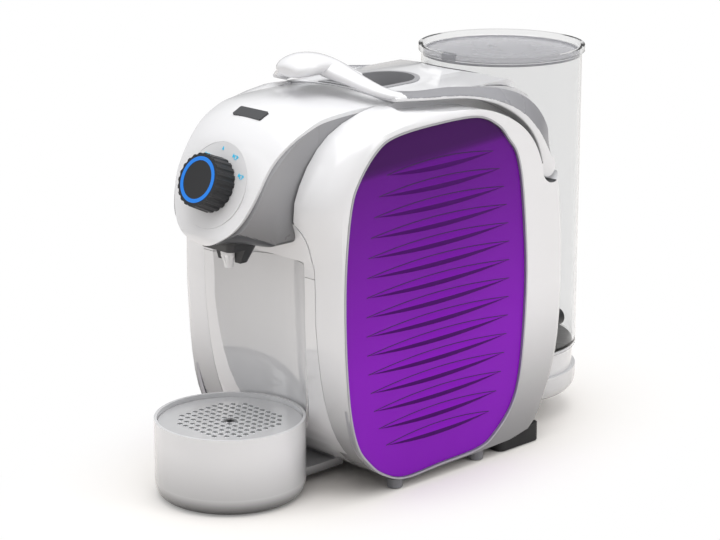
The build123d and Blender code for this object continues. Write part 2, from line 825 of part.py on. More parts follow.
def crown(rise, drop):
    """The deck's arched slab from side to side: its top raised by rise, its underside below by drop."""
    with BuildPart() as form:
        with BuildSketch(Plane.XZ.offset(-tank_y)):
            with BuildLine():
                top = ThreePointArc((-deck_half, deck_side_z + rise), (0, deck_z + rise),
                                    (deck_half, deck_side_z + rise))
                low = ThreePointArc((deck_half, deck_side_z - drop), (0, deck_z - drop),
                                    (-deck_half, deck_side_z - drop))
                Line(top @ 1, low @ 0)
                Line(low @ 1, top @ 0)
            make_face()
        extrude(amount=tank_y - deck_front - seam)
    return form.part


def deck_below(drop):
    """Everything under the deck's line as seen from the side, lowered by drop."""
    points = [(y, z - drop) for y, z in DECK_BACK]
    with BuildPart() as form:
        with BuildSketch(Plane.YZ.offset(-deck_half)):
            with BuildLine():
                top = Spline(*points)
                Polyline(top @ 1, (points[-1][0], 200), (points[0][0], 200), top @ 0)
            make_face()
        extrude(amount=2 * deck_half)
    return form.part


def u_prism(radius, y_front, z0, z1):
    """An upright U: a half round at the back and straight sides to the front."""
    with BuildPart() as prism:
        with BuildSketch(Plane.XY.offset(z0)):
            with Locations((0, chute_y)):
                Circle(radius)
            with Locations((0, (chute_y + y_front) / 2)):
                Rectangle(2 * radius, chute_y - y_front)
        extrude(amount=z1 - z0)
    return prism.part


with BuildPart() as top_deck:
    add(crown(0, deck_skirt))
    add(deck_below(0), mode=Mode.INTERSECT)
    with BuildPart(mode=Mode.PRIVATE) as deck_inside:
        add(crown(-deck_t, deck_skirt + 30))
        add(deck_below(deck_t), mode=Mode.INTERSECT)
        add(slab(-housing_x, housing_x, -100, 140, 200, 300), mode=Mode.INTERSECT)
    add(deck_inside.part, mode=Mode.SUBTRACT)
    add(slab(-90, 90, -100, 140, 200, deck_side_z - deck_t), mode=Mode.SUBTRACT)
    add(tank_void(hug_r, 10), mode=Mode.SUBTRACT)
    add(u_prism(chute_r + chute_rim, chute_front - chute_rim, 200, 320), mode=Mode.SUBTRACT)
top_deck.part.label = "top_deck"
export_step(top_deck.part, "parts/top_deck.step")

with BuildPart() as capsule_chute:
    add(u_prism(chute_r + chute_rim, chute_front - chute_rim, deck_z - deck_t - 4, 320))
    add(crown(chute_rise, deck_t), mode=Mode.INTERSECT)
    add(u_prism(chute_r + chute_wall, chute_front - chute_wall, chute_floor, deck_z - deck_t))
    add(u_prism(chute_r, chute_front, chute_floor - 1, 320), mode=Mode.SUBTRACT)
capsule_chute.part.label = "capsule_chute"
export_step(capsule_chute.part, "parts/capsule_chute.step")

with BuildPart() as rear_cover:
    with BuildSketch(Plane.XY.offset(back_low)):
        with Locations((0, tank_y)):
            Circle(hug_r + 0.2 + back_wall)
            Circle(hug_r + 0.2, mode=Mode.SUBTRACT)
        with Locations((0, 0)):
            Rectangle(2 * (housing_x - seam), 2 * tank_y, mode=Mode.INTERSECT)
    extrude(amount=deck_side_z - deck_t - back_low)
    add(middle_form(0, half_width), mode=Mode.INTERSECT)
    add(slab(-bracket_half - seam, bracket_half + seam, 50, 90, bracket_z0 - seam, bracket_z1 + seam),
        mode=Mode.SUBTRACT)
rear_cover.part.label = "rear_cover"
export_step(rear_cover.part, "parts/rear_cover.step")

# ---- base plate, frame and brewing unit ----------------------------------------------------------
back_r = hug_r + 0.2 + back_wall
with BuildPart() as base_plate:
    add(slab(-housing_x + seam, housing_x - seam, base_front, tank_y, base_z0, base_z1))
    add(tank_void(back_r, -5), mode=Mode.SUBTRACT)
    for x in (-screw_x, screw_x):
        for y in screw_ys:
            add(rod_z(screw_r + 0.1, x, y, 0, 30), mode=Mode.SUBTRACT)
base_plate.part.label = "base_plate"
export_step(base_plate.part, "parts/base_plate.step")

with BuildPart() as case_screws:
    for x in (-screw_x, screw_x):
        for y in screw_ys:
            add(rod_z(2 * screw_r, x, y, base_z0 - 1.4, base_z0))
            add(rod_z(screw_r, x, y, base_z0 - 0.2, base_z1))
case_screws.part.label = "case_screws"
export_step(case_screws.part, "parts/case_screws.step")

plate_in = housing_x - seam - frame_plate_t
for name, x0 in (("frame_plate_left", seam - housing_x), ("frame_plate_right", plate_in)):
    with BuildPart() as plate:
        add(slab(x0, x0 + frame_plate_t, frame_y0, frame_y1, base_z1, frame_top))
    plate.part.label = name
    export_step(plate.part, f"parts/{name}.step")

with BuildPart() as frame_shelves:
    for z in (shelf_z_low, shelf_z_high):
        add(slab(-plate_in, plate_in, frame_y0, frame_y1, z, z + frame_t))
    add(rod_z(hose_r + 1, riser_x, pump_y, shelf_z_low - 1, shelf_z_low + frame_t + 1),
        mode=Mode.SUBTRACT)
frame_shelves.part.label = "frame_shelves"
export_step(frame_shelves.part, "parts/frame_shelves.step")

shelf_high_top = shelf_z_high + frame_t
with BuildPart() as brew_frame:
    add(rod_y(piston_r + brew_wall, 0, brew_y0, brew_y1, brew_z))
    add(slab(-brew_foot, brew_foot, brew_y0, brew_y1, shelf_high_top, brew_z - piston_r / 2))
    add(rod_y(piston_r + bore_gap, 0, brew_y0 - 1, brew_y1 + 1, brew_z), mode=Mode.SUBTRACT)
brew_frame.part.label = "brew_frame"
export_step(brew_frame.part, "parts/brew_frame.step")

with BuildPart() as brew_head:
    add(rod_y(piston_r + brew_wall, 0, head_y0, head_y1, brew_z))
    add(slab(-brew_foot, brew_foot, head_y0, head_y1, shelf_high_top, brew_z - piston_r / 2))
    add(slab(-brew_foot, brew_foot, head_y0, frame_y0 + 4, shelf_high_top, shelf_high_top + 5))
    add(rod_y(capsule_r, 0, head_y0 + brew_wall, head_y1 + 1, brew_z), mode=Mode.SUBTRACT)
brew_head.part.label = "brew_head"
export_step(brew_head.part, "parts/brew_head.step")

with BuildPart() as brew_piston:
    add(rod_y(piston_r, 0, piston_y0, piston_y1, brew_z))
    add(rod_y(piston_r - 3, 0, piston_y0 - seal_t, piston_y0, brew_z))
brew_piston.part.label = "brew_piston"
export_step(brew_piston.part, "parts/brew_piston.step")

with BuildPart() as piston_seal:
    add(rod_y(piston_r - 0.6, 0, piston_y0 - seal_t, piston_y0, brew_z))
    add(rod_y(piston_r - 3, 0, piston_y0 - seal_t - 1, piston_y0 + 1, brew_z), mode=Mode.SUBTRACT)
piston_seal.part.label = "piston_seal"
export_step(piston_seal.part, "parts/piston_seal.step")

shelf_low_top = shelf_z_low + frame_t
with BuildPart() as boiler:
    add(rod_z(boiler_r, 0, boiler_y, shelf_low_top, shelf_z_high - 3))
    fillet(boiler.edges().filter_by(GeomType.CIRCLE), 4)
boiler.part.label = "boiler"
export_step(boiler.part, "parts/boiler.step")

with BuildPart() as pump_mounts:
    for x in pump_feet:
        add(slab(x - 6, x + 6, pump_y - 12, pump_y + 12, base_z1, pump_z - pump_r * 0.6))
    add(rod_x(pump_r, -90, 90, pump_y, pump_z), mode=Mode.SUBTRACT)
pump_mounts.part.label = "pump_mounts"
export_step(pump_mounts.part, "parts/pump_mounts.step")

with BuildPart() as pump:
    add(rod_x(pump_r, pump_x0, pump_x1, pump_y, pump_z))
    add(rod_x(pump_r * 0.45, pump_x1, pump_x1 + 12, pump_y, pump_z))
    add(rod_x(hose_r, pump_x0 - 5, pump_x0, pump_y, pump_z))
pump.part.label = "pump"
export_step(pump.part, "parts/pump.step")

with BuildPart() as flow_meter:
    add(rod_z(meter_r, meter_x, meter_y, shelf_z_low - meter_t, shelf_z_low))
flow_meter.part.label = "flow_meter"
export_step(flow_meter.part, "parts/flow_meter.step")

with BuildPart() as control_board:
    add(slab(plate_in - board_t, plate_in, 0, frame_y1 - 4, base_z1 + 18, shelf_z_low - 8))
control_board.part.label = "control_board"
export_step(control_board.part, "parts/control_board.step")


def hose(points, radii):
    """A round hose along straight runs joined by tangent arcs."""
    with BuildPart() as tube:
        with BuildLine() as path:
            FilletPolyline(*points, radius=radii)
        with BuildSketch(Plane(origin=points[0], z_dir=Vector(*points[1]) - Vector(*points[0]))):
            Circle(hose_r)
            Circle(hose_r - hose_wall, mode=Mode.SUBTRACT)
        sweep(path=path.wire())
    return tube.part


HOSES = (
    ("suction_hose", ((meter_x, meter_y, shelf_z_low - meter_t), (meter_x, meter_y, pump_z + pump_r + 8),
                      (pump_x0 - 10, pump_y, pump_z + pump_r), (pump_x0 - 10, pump_y, pump_z + 1)),
     [10, 10]),
    ("pressure_hose", ((pump_x1 + 12, pump_y, pump_z), (riser_x, pump_y, pump_z),
                       (riser_x, pump_y, riser_top), (boiler_r, pump_y, riser_top)), [6, 8]),
    ("coffee_hose", ((0, head_y0, brew_z + 6), (0, head_y0 - 20, brew_z + 6), (0, head_y0 - 40, brew_z + 16.5),
                     (0, spout_y + 20, brew_z + 16.5), (0, spout_y, brew_z + 9), (0, spout_y, nozzle_top)),
     [20, 20, 12, 7]),
)

# ---- drawer -------------------------------------------------------------------------------------
drawer_top = split_z - seam
with BuildPart() as drawer_front:
    add(slab(-bay_half, bay_half, -160, bay_arch_back, 0, drawer_top))
    add(slab(-housing_x + seam, housing_x - seam, bay_arch_back - 1, base_front - seam, 0, 60))
    add(middle_form(0, half_width), mode=Mode.INTERSECT)
    with BuildPart(mode=Mode.PRIVATE) as drawer_hollow:
        add(slab(frame_t - bay_half, bay_half - frame_t, -112, bay_arch_back + 1, 0, drawer_top + 1))
        add(slab(-housing_x + seam + frame_t, housing_x - seam - frame_t, -95, base_front + 1, 0, 61))
        add(middle_form(0, half_width, frame_t), mode=Mode.INTERSECT)
    add(drawer_hollow.part, mode=Mode.SUBTRACT)
    add(bay_void(bay_r + wall_ring, -5, 200), mode=Mode.SUBTRACT)
drawer_front.part.label = "drawer_front"
export_step(drawer_front.part, "parts/drawer_front.step")

with BuildPart() as bay_wall:
    add(bay_void(bay_r + wall_ring, sill_z, drawer_top))
    add(middle_form(0, half_width), mode=Mode.INTERSECT)
    add(bay_void(bay_r, -5, 200), mode=Mode.SUBTRACT)
bay_wall.part.label = "bay_wall"
export_step(bay_wall.part, "parts/bay_wall.step")

bin_front = bay_back_y + wall_ring + fit
with BuildPart() as capsule_bin:
    add(slab(-bin_half, bin_half, bin_front, bin_front + bin_depth, base_z1 + fit + floor_t,
             base_z1 + fit + floor_t + bin_h))
    add(middle_form(0, half_width, frame_t + fit), mode=Mode.INTERSECT)
    with BuildPart(mode=Mode.PRIVATE) as bin_room:
        add(slab(-bin_half + bin_wall, bin_half - bin_wall, bin_front + bin_wall,
                 bin_front + bin_depth - bin_wall, base_z1 + fit + floor_t + bin_wall,
                 base_z1 + fit + floor_t + bin_h + 10))
        add(middle_form(0, half_width, frame_t + fit + bin_wall), mode=Mode.INTERSECT)
    add(bin_room.part, mode=Mode.SUBTRACT)
capsule_bin.part.label = "capsule_bin"
export_step(capsule_bin.part, "parts/capsule_bin.step")

with BuildPart() as drawer_floor:
    add(slab(-bin_half - 2, bin_half + 2, base_front, bin_front + bin_depth,
             base_z1 + fit, base_z1 + fit + floor_t))
drawer_floor.part.label = "drawer_floor"
export_step(drawer_floor.part, "parts/drawer_floor.step")

with BuildPart() as tray_base:
    with BuildSketch(Plane.YZ):
        with BuildLine():
            ring = Polyline((tray_y + base_r - 14, base_foot), (tray_y + base_r, base_foot))
            side = Spline(ring @ 1, (tray_y + base_r + 4, base_foot + 3.4),
                          (tray_y + tray_r - 0.2, base_h - 3), (tray_y + tray_r, base_h))
            Polyline(side @ 1, (tray_y + base_r - 14, base_h), ring @ 0)
        make_face()
    revolve(axis=Axis((0, tray_y, 0), (0, 0, 1)))
    with BuildPart(mode=Mode.PRIVATE) as link:
        add(slab(-link_half, link_half, tray_y + base_r, base_front - seam, link_z0, base_z1))
        add(middle_form(0, half_width), mode=Mode.SUBTRACT)
        add(bay_void(tray_r - 1, base_h, 60), mode=Mode.SUBTRACT)
    add(link.part)
tray_base.part.label = "tray_base"
export_step(tray_base.part, "parts/tray_base.step")

# ---- drip tray and grid -------------------------------------------------------------------------
grid_top = tray_h - grid_drop
grid_r = tray_r - tray_wall - fit
with BuildPart() as drip_tray:
    with BuildSketch(Plane.XZ):
        with BuildLine():
            Polyline((0, base_h), (tray_r, base_h), (tray_r, tray_h), (tray_r - tray_wall, tray_h),
                     (tray_r - tray_wall, grid_top - grid_t),
                     (tray_r - tray_wall - tray_ledge, grid_top - grid_t),
                     (tray_r - tray_wall - tray_ledge, grid_top - grid_t - 2),
                     (tray_r - tray_wall, grid_top - grid_t - 5),
                     (tray_r - tray_wall, tray_floor_z), (0, tray_floor_z), close=True)
        make_face()
    revolve(axis=Axis.Z)
drip_tray_placed = drip_tray.part.moved(Location((0, tray_y, 0)))
drip_tray_placed.label = "drip_tray"
export_step(drip_tray_placed, "parts/drip_tray.step")

reach = int(grid_field_r / grid_pitch)
spots = [(i * grid_pitch, j * grid_pitch) for i in range(-reach, reach + 1)
         for j in range(-reach, reach + 1)
         if grid_square * 0.72 < hypot(i, j) * grid_pitch <= grid_field_r]
with BuildPart() as drip_grid:
    with BuildSketch(Plane.XY.offset(grid_top - grid_t)):
        with Locations((0, tray_y)):
            Circle(grid_r)
            Rectangle(grid_square, grid_square, mode=Mode.SUBTRACT)
            with Locations(spots):
                Circle(grid_hole_r, mode=Mode.SUBTRACT)
    extrude(amount=grid_t)
drip_grid.part.label = "drip_grid"
export_step(drip_grid.part, "parts/drip_grid.step")

# ---- water tank and its shelf -------------------------------------------------------------------
def turned(points, label):
    """A turned piece on the tank's axis from a closed outline of (radius, z) points."""
    with BuildPart() as piece:
        with BuildSketch(Plane.XZ.offset(-tank_y)):
            with BuildLine():
                Polyline(*points, close=True)
            make_face()
        revolve(axis=Axis((0, tank_y, 0), (0, 0, 1)))
    piece.part.label = label
    return piece


tank_in = tank_r - tank_wall
neck_top = tank_foot_z + tank_wall
tank_floor_top = neck_top + tank_wall + 0.4
lid_seat = tank_top - lid_sink
nipple_z = neck_top - nipple_len
water_tank = turned((
    (valve_r + bore_gap, nipple_z), (nipple_r, nipple_z), (nipple_r, neck_top), (tank_in, neck_top),
    (tank_in, tank_foot_z), (tank_r, tank_foot_z), (tank_r, tank_top - rim_h),
    (tank_rim_r, tank_top - rim_h + 1.4), (tank_rim_r, tank_top), (lid_r + fit, tank_top),
    (lid_r + fit, lid_seat), (tank_in, lid_seat), (tank_in, tank_floor_top),
    (valve_r + bore_gap, tank_floor_top)), "water_tank")
export_step(water_tank.part, "parts/water_tank.step")

tank_lid = turned(((0, lid_seat), (lid_r, lid_seat), (lid_r, lid_seat + lid_t + 1.2),
                   (lid_r - 1.6, lid_seat + lid_t + 1.2), (lid_r - 1.6, lid_seat + lid_t),
                   (0, lid_seat + lid_t)), "tank_lid")
with BuildPart() as lid_done:
    add(tank_lid.part)
    add(slab(-lid_tab_w / 2, lid_tab_w / 2, tank_y - lid_r + 1, tank_y - lid_r + 3.4, lid_seat + 0.5,
             tank_top))
lid_done.part.label = "tank_lid"
export_step(lid_done.part, "parts/tank_lid.step")

tank_valve = turned(((0, nipple_z - 1), (valve_r, nipple_z - 1), (valve_r, tank_floor_top),
                     (valve_r + 3, tank_floor_top), (valve_r + 3, tank_floor_top + 2),
                     (0, tank_floor_top + 2)), "tank_valve")
export_step(tank_valve.part, "parts/tank_valve.step")

with BuildPart() as tank_shelf:
    with BuildSketch(Plane.XZ.offset(-tank_y)):
        with BuildLine():
            low = Polyline((0, shelf_low), (cup_r - 7, shelf_low))
            bend = Spline(low @ 1, (cup_r - 1.8, shelf_low + 4.5), (cup_r, shelf_low + 10))
            Polyline(bend @ 1, (cup_r, shelf_top), (neck_r, shelf_top), (neck_r, neck_top),
                     (nipple_r + fit, neck_top), (nipple_r + fit, neck_top - neck_wall),
                     (neck_r - neck_wall, neck_top - neck_wall),
                     (neck_r - neck_wall, shelf_low + neck_wall), (0, shelf_low + neck_wall), low @ 0)
        make_face()
    revolve(axis=Axis((0, tank_y, 0), (0, 0, 1)))
    with BuildPart(mode=Mode.PRIVATE) as bracket:
        add(slab(-bracket_half, bracket_half, bracket_y, tank_y - 20, bracket_z0, bracket_z1))
        add(tank_void(cup_r - 1, 0), mode=Mode.SUBTRACT)
    add(bracket.part)
tank_shelf.part.label = "tank_shelf"
export_step(tank_shelf.part, "parts/tank_shelf.step")

tank_socket = turned(((nipple_r + fit, socket_z), (socket_r, socket_z), (socket_r, neck_top - neck_wall),
                      (nipple_r + fit, neck_top - neck_wall)), "tank_socket")
with BuildPart() as socket_done:
    add(tank_socket.part)
    add(rod_z(socket_r, 0, tank_y, socket_z - 2, socket_z))
    add(rod_z(1.2, 0, tank_y, socket_z, nipple_z - 1.5))
socket_done.part.label = "tank_socket"
export_step(socket_done.part, "parts/tank_socket.step")

socket_seal = turned(((valve_r, nipple_z - fit - seal_t), (nipple_r + fit, nipple_z - fit - seal_t),
                      (nipple_r + fit, nipple_z - fit), (valve_r, nipple_z - fit)), "socket_seal")
export_step(socket_seal.part, "parts/socket_seal.step")

# ---- hoses --------------------------------------------------------------------------------------
for name, points, radii in HOSES:
    tube = hose(points, radii)
    tube.label = name
    export_step(tube, f"parts/{name}.step")

# ---- power switch and cable gland ----------------------------------------------------------------
switch_span = switch_w - 0.2
with BuildPart() as switch_bezel:
    add(slab(-switch_x - switch_span / 2, -switch_x + switch_span / 2, switch_y - 1, switch_y + 7.5,
             switch_z - switch_h / 2 + 0.1, switch_z + switch_h / 2 - 0.1))
    add(slab(-switch_x - rocker_w / 2 - fit, -switch_x + rocker_w / 2 + fit, switch_y - 2, 140,
             switch_z - rocker_h / 2 - fit, switch_z + rocker_h / 2 + fit), mode=Mode.SUBTRACT)
    add(rod_x(rocker_pin_r + bore_gap, -switch_x - 20, -switch_x + 20, rocker_y, switch_z),
        mode=Mode.SUBTRACT)
switch_bezel.part.label = "switch_bezel"
export_step(switch_bezel.part, "parts/switch_bezel.step")

with BuildPart() as power_switch:
    with BuildSketch(Plane.YZ.offset(-switch_x - rocker_w / 2)):
        with BuildLine():
            Polyline((rocker_y - 2.5, switch_z - rocker_h / 2 + 2),
                     (rocker_y + 4.6, switch_z - rocker_h / 2 + 1.6), (rocker_y + 3.6, switch_z),
                     (rocker_y + 3.2, switch_z + rocker_h / 2 - 0.5),
                     (rocker_y - 2.5, switch_z + rocker_h / 2 - 2), close=True)
        make_face()
    extrude(amount=rocker_w)
    add(rod_x(rocker_pin_r, -switch_x - switch_span / 2 + 0.2, -switch_x + switch_span / 2 - 0.2,
              rocker_y, switch_z))
power_switch.part.label = "power_switch"
export_step(power_switch.part, "parts/power_switch.step")

with BuildPart() as power_inlet:
    add(rod_y(gland_r + 1.6, gland_x, gland_y + 8, gland_y + 16.5, gland_z))
    add(outer_form, mode=Mode.SUBTRACT)
    add(rod_y(gland_r - 0.1, gland_x, gland_y - 4, gland_y + 14, gland_z))
    add(rod_y(gland_bore, gland_x, gland_y - 5, gland_y + 20, gland_z), mode=Mode.SUBTRACT)
power_inlet.part.label = "power_inlet"
export_step(power_inlet.part, "parts/power_inlet.step")

# ---- lever --------------------------------------------------------------------------------------
# arm stations on its low edge: Y, Z, lean of the section from upright, heights of the inner crest
# and of the outer edge above the low edge, share of the way from the inner face beside the deck to
# the one at the hook, X of the outer face
ARM = (
    (-44, 288.5, -2, 6, 2.8, -1, 66), (-30, 288, 0, 6, 2.8, -0.294, 71),
    (-12, 286.6, 2, 5.6, 2.8, 0, 73.5), (10, 284.6, 5, 6.6, 2.8, 0, 74),
    (31, 281.3, 11, 7.8, 2.8, 0, 74.5), (48.5, 276.2, 20, 11, 3.2, 0.176, 75.5),
    (63.3, 269.4, 30, 16.5, 4.2, 0.553, 77), (77, 260.2, 42, 22.5, 5.2, 0.929, 79),
    (88.6, 248.2, 57, 27, 6, 1, 80.5), (96.3, 234.6, 72, 28, 8, 1, arm_out),
    (100.5, 221, 90, 14.5, 14.5, 1, arm_out),
)
# yoke stations from the tongue out to the arm: X, Y, Z, width and thickness
YOKE = ((10, -57, 308, 24, 14), (22, -55, 304.5, 22, 12), (34, -52, 300.5, 19, 10),
        (46, -47.5, 296, 17, 8.5), (56, -41, 292.5, 16, 7), (64, -28, 290.3, 13, 5.5))
# tongue stations: Y, Z, width and thickness
TONGUE_RUN = ((-91.5, 308.6, 14, 5), (-87.5, 309.4, 29, 12.5), (-78, 311, 35.5, 16.5),
              (-65, 311, 36, 16.5), (-53, 308.5, 37, 14), (-43, 304.5, 42, 10.5),
              (-36, 301.5, 46, 7.5))


def arm_section(y, z, lean, inner_h, outer_h, share, x_out):
    """A four-cornered section of the right arm in a plane that leans back with the arm."""
    beside_deck = arm_in_front + arm_clear
    x_in = beside_deck + share * (arm_in - beside_deck)
    out = (sin(radians(lean)), cos(radians(lean)))
    with BuildSketch(Plane(origin=(0, y, z), x_dir=(1, 0, 0), z_dir=(0, -out[1], out[0]))) as face:
        with BuildLine():
            Polyline((x_in, 0), (x_out, 0), (x_out, outer_h), (x_in, inner_h), close=True)
        make_face()
        fillet(face.vertices(), arm_round)
    return face.sketch


with BuildPart() as arm:
    for row in ARM:
        add(arm_section(*row))
    loft()
    add(rod_x(hook_r, arm_in, arm_out, pivot_y, pivot_z))

with BuildPart() as yoke:
    for i, (x, y, z, w, t) in enumerate(YOKE):
        a = YOKE[max(i - 1, 0)]
        b = YOKE[min(i + 1, len(YOKE) - 1)]
        ahead = Vector(b[0] - a[0], b[1] - a[1], b[2] - a[2])
        across = ahead.cross(Vector(0, 0, 1))
        with BuildSketch(Plane(origin=(x, y, z), x_dir=across, z_dir=ahead)):
            Ellipse(w / 2, t / 2)
    loft()

with BuildPart() as tongue:
    for i, (y, z, w, t) in enumerate(TONGUE_RUN):
        a = TONGUE_RUN[max(i - 1, 0)]
        b = TONGUE_RUN[min(i + 1, len(TONGUE_RUN) - 1)]
        with BuildSketch(Plane(origin=(0, y, z), x_dir=(1, 0, 0), z_dir=(0, b[0] - a[0], b[1] - a[1]))):
            Ellipse(w / 2, t / 2)
    loft()

with BuildPart() as lever:
    add(tongue.part)
    add(yoke.part)
    mirror(yoke.part, about=Plane.YZ)
    add(arm.part)
    mirror(arm.part, about=Plane.YZ)
    for side in (-1, 1):
        add(rod_x(pivot_r, side * (50 + pin_out) / 2 - (pin_out - 50) / 2,
                  side * (50 + pin_out) / 2 + (pin_out - 50) / 2, pivot_y, pivot_z),
            mode=Mode.SUBTRACT)
lever.part.label = "lever"
export_step(lever.part, "parts/lever.step")

with BuildPart() as lever_pins:
    for side in (-1, 1):
        add(rod_x(pivot_r, side * (pin_out + pin_in) / 2 - (pin_out - pin_in) / 2,
                  side * (pin_out + pin_in) / 2 + (pin_out - pin_in) / 2, pivot_y, pivot_z))
lever_pins.part.label = "lever_pins"
export_step(lever_pins.part, "parts/lever_pins.step")
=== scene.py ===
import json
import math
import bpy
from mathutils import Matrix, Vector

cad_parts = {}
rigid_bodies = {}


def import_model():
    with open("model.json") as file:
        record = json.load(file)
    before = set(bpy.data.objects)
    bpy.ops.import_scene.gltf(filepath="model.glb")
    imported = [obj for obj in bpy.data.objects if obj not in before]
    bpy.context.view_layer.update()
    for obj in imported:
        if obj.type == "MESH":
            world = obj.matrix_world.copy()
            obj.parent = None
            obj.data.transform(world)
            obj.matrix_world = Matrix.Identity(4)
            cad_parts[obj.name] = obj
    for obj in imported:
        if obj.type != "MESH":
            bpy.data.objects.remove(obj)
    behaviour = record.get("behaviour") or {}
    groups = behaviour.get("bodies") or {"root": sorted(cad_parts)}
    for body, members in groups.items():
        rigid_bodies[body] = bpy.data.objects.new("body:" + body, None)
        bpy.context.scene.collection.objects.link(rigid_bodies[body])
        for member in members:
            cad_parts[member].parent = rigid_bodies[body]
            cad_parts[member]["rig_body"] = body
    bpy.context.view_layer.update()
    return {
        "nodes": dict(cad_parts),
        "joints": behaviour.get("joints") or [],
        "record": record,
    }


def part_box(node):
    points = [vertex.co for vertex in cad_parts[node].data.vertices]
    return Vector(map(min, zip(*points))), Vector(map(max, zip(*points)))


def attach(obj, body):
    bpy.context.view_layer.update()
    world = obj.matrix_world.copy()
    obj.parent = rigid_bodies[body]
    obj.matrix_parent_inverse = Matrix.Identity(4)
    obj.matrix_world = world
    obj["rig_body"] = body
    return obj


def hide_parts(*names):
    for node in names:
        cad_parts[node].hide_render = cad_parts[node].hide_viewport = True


bl_info = {
    "name": "Pod Coffee Machine",
    "version": (1, 0, 0),
    "blender": (4, 5, 0),
    "location": "3D Viewport > Sidebar > Coffee",
    "description": "Dresses the packed pod coffee machine and sets it in a pale studio",
    "category": "Object",
}

import bmesh
import bpy
from bpy.props import FloatProperty, FloatVectorProperty, IntProperty, PointerProperty
from mathutils import Vector

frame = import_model()
deck_low, deck_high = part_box("top_deck")

MM = 0.001

# Finishes. Lengths and heights are in metres, and shares run from 0 to 1.
GRAIN_HEIGHT = 0.2 * MM
COAT_ROUGHNESS = 0.03
UNLIT_SHARE = 0.1  # how much of a lit part's colour shows in plain light
NOISE_LOW, NOISE_HIGH = 0.3, 0.7  # nearly all of a noise lies between these
# A painted reflection of the dark studio deepens the violet above the ribs.
PANEL_REFLECTION_LEAN = -0.06  # added to a point's height for each metre towards the back
PANEL_REFLECTION_STOPS = ((0.1, 0.0), (0.246, 0.62), (0.251, 1.0))  # height, share of the deeper violet
DECK_LINE = 4.5 * MM  # how far the dark line on the deck reaches out from the tank

# Skins of CAD nodes.
MERGE_GAP, SLIVER = 0.002 * MM, 0.001 * MM  # corners nearer than this merge, shorter edges go
SHARP, HOUSING_SHARP, LEVER_SHARP, GROWN_SHARP = 30, 32, 40, 40  # degrees past which edges show

# Faces that get a second finish. A slope is the Z of a face's normal: -1 looks straight down.
# Faces that look down more steeply than this get painted shade.
DOWN_SLOPE = -0.6
# Rib facets that look down more than this get painted shade.
RIB_SLOPE = -0.12
# Arm tops that face up more than this get a painted reflection.
ARM_SLOPE = 0.2
ARM_INNER, ARM_FRONT = deck_high.x - 2.2 * MM, deck_low.y + 1.6 * MM
# The trench's floor behind the deck gets painted shadow.
TRENCH_INNER = deck_high.x + 0.8 * MM  # the arms drop into a trench beside the deck
TRENCH_FRONT, TRENCH_BACK, TRENCH_LOW = 45 * MM, 112 * MM, 200 * MM
TRENCH_TURN = 0.5  # the X of a normal stays below this on the trench's floor

# Prints round the dial: turn in degrees from the top, distance from the hub, and with a cup or not.
DIAL_PRINTS = ((72, 25.4 * MM, True), (40, 26 * MM, True), (4, 26.6 * MM, False),
               (-28, 26 * MM, True), (-66, 25.4 * MM, True))
CUP_HALF, CUP_RISE, CUP_LINE = 1.75 * MM, 1.55 * MM, 0.4 * MM  # half width, half height, line
CUP_ASIDE, CUP_LIFT = 1.1 * MM, -0.3 * MM
DROP_R, DROP_SINK, DROP_TIP = 0.85 * MM, 0.5 * MM, 1.5 * MM
DROP_ASIDE, DROP_LIFT = -1.6 * MM, 0.7 * MM
DROP_START, DROP_SWEEP, DROP_STEPS = 150, 240, 10  # degrees, and steps round the drop's belly

# Painted crease shadows on the side panels, and collars on the grid.
PANEL_Y, PANEL_Z = -16 * MM, 140 * MM  # middle of the ribs
CREASE_DEPTH = 2.4 * MM  # how far the creases lie inside the panel's widest point
CREASE_POINTS, CREASE_SIDES = 49, 8  # along a crease, and round it
FIELD_POWER = 2.5  # exponent of the rounded outline that the ribs fill
COLLAR_STEPS, COLLAR_SIDES = 16, 5  # round a hole, and round the collar's edge

# Stage. Places are in metres, and the camera's lens and sensor in millimetres.
CAMERA_PLACE = (1.29069, -1.27569, 0.64773)
CAMERA_LINE = (-0.6893, 0.6727, -0.2689)  # the way it looks
CAMERA_LENS, CAMERA_SENSOR = 122.5, 36
FLOOR_HALF, FLOOR_DROP = 6, 0.5 * MM
FLOOR_COLOUR, FLOOR_ROUGHNESS = (0.9, 0.865, 0.83, 1), 0.7
FADE_SQUASH = (1, 0.55, 1)  # the floor fades to white over an oval
FADE_START, FADE_END = 0.07, 0.2
DOME_LOW, DOME_HIGH = -0.15, 0.75  # Z of the directions between which the dome brightens
DOME_DIM, DOME_BRIGHT = 0.12, 0.85
LAMP_AIM = (0, 0, 0.15)
LAMPS = (  # name, place, width and length, watts
    ("lamp_top", (0.1, -0.1, 1.6), (1.4, 1.4), 15),
    ("lamp_front", (-0.9, -1.5, 1.0), (0.8, 1.6), 4),
    ("lamp_right", (1.5, 0.5, 1.1), (0.6, 1.2), 7))


def linear(code):
    """The linear colour of an sRGB hex code."""
    channels = [int(code[i:i + 2], 16) / 255 for i in (0, 2, 4)]
    return tuple(c / 12.92 if c <= 0.04045 else ((c + 0.055) / 1.055) ** 2.4 for c in channels)


def colour(name, code, description):
    return FloatVectorProperty(name=name, description=description, subtype="COLOR", size=3,
                               min=0, max=1, default=linear(code))


def length(name, millimetres, description):
    return FloatProperty(name=name, description=description, default=millimetres * MM,
                         subtype="DISTANCE", unit="LENGTH")


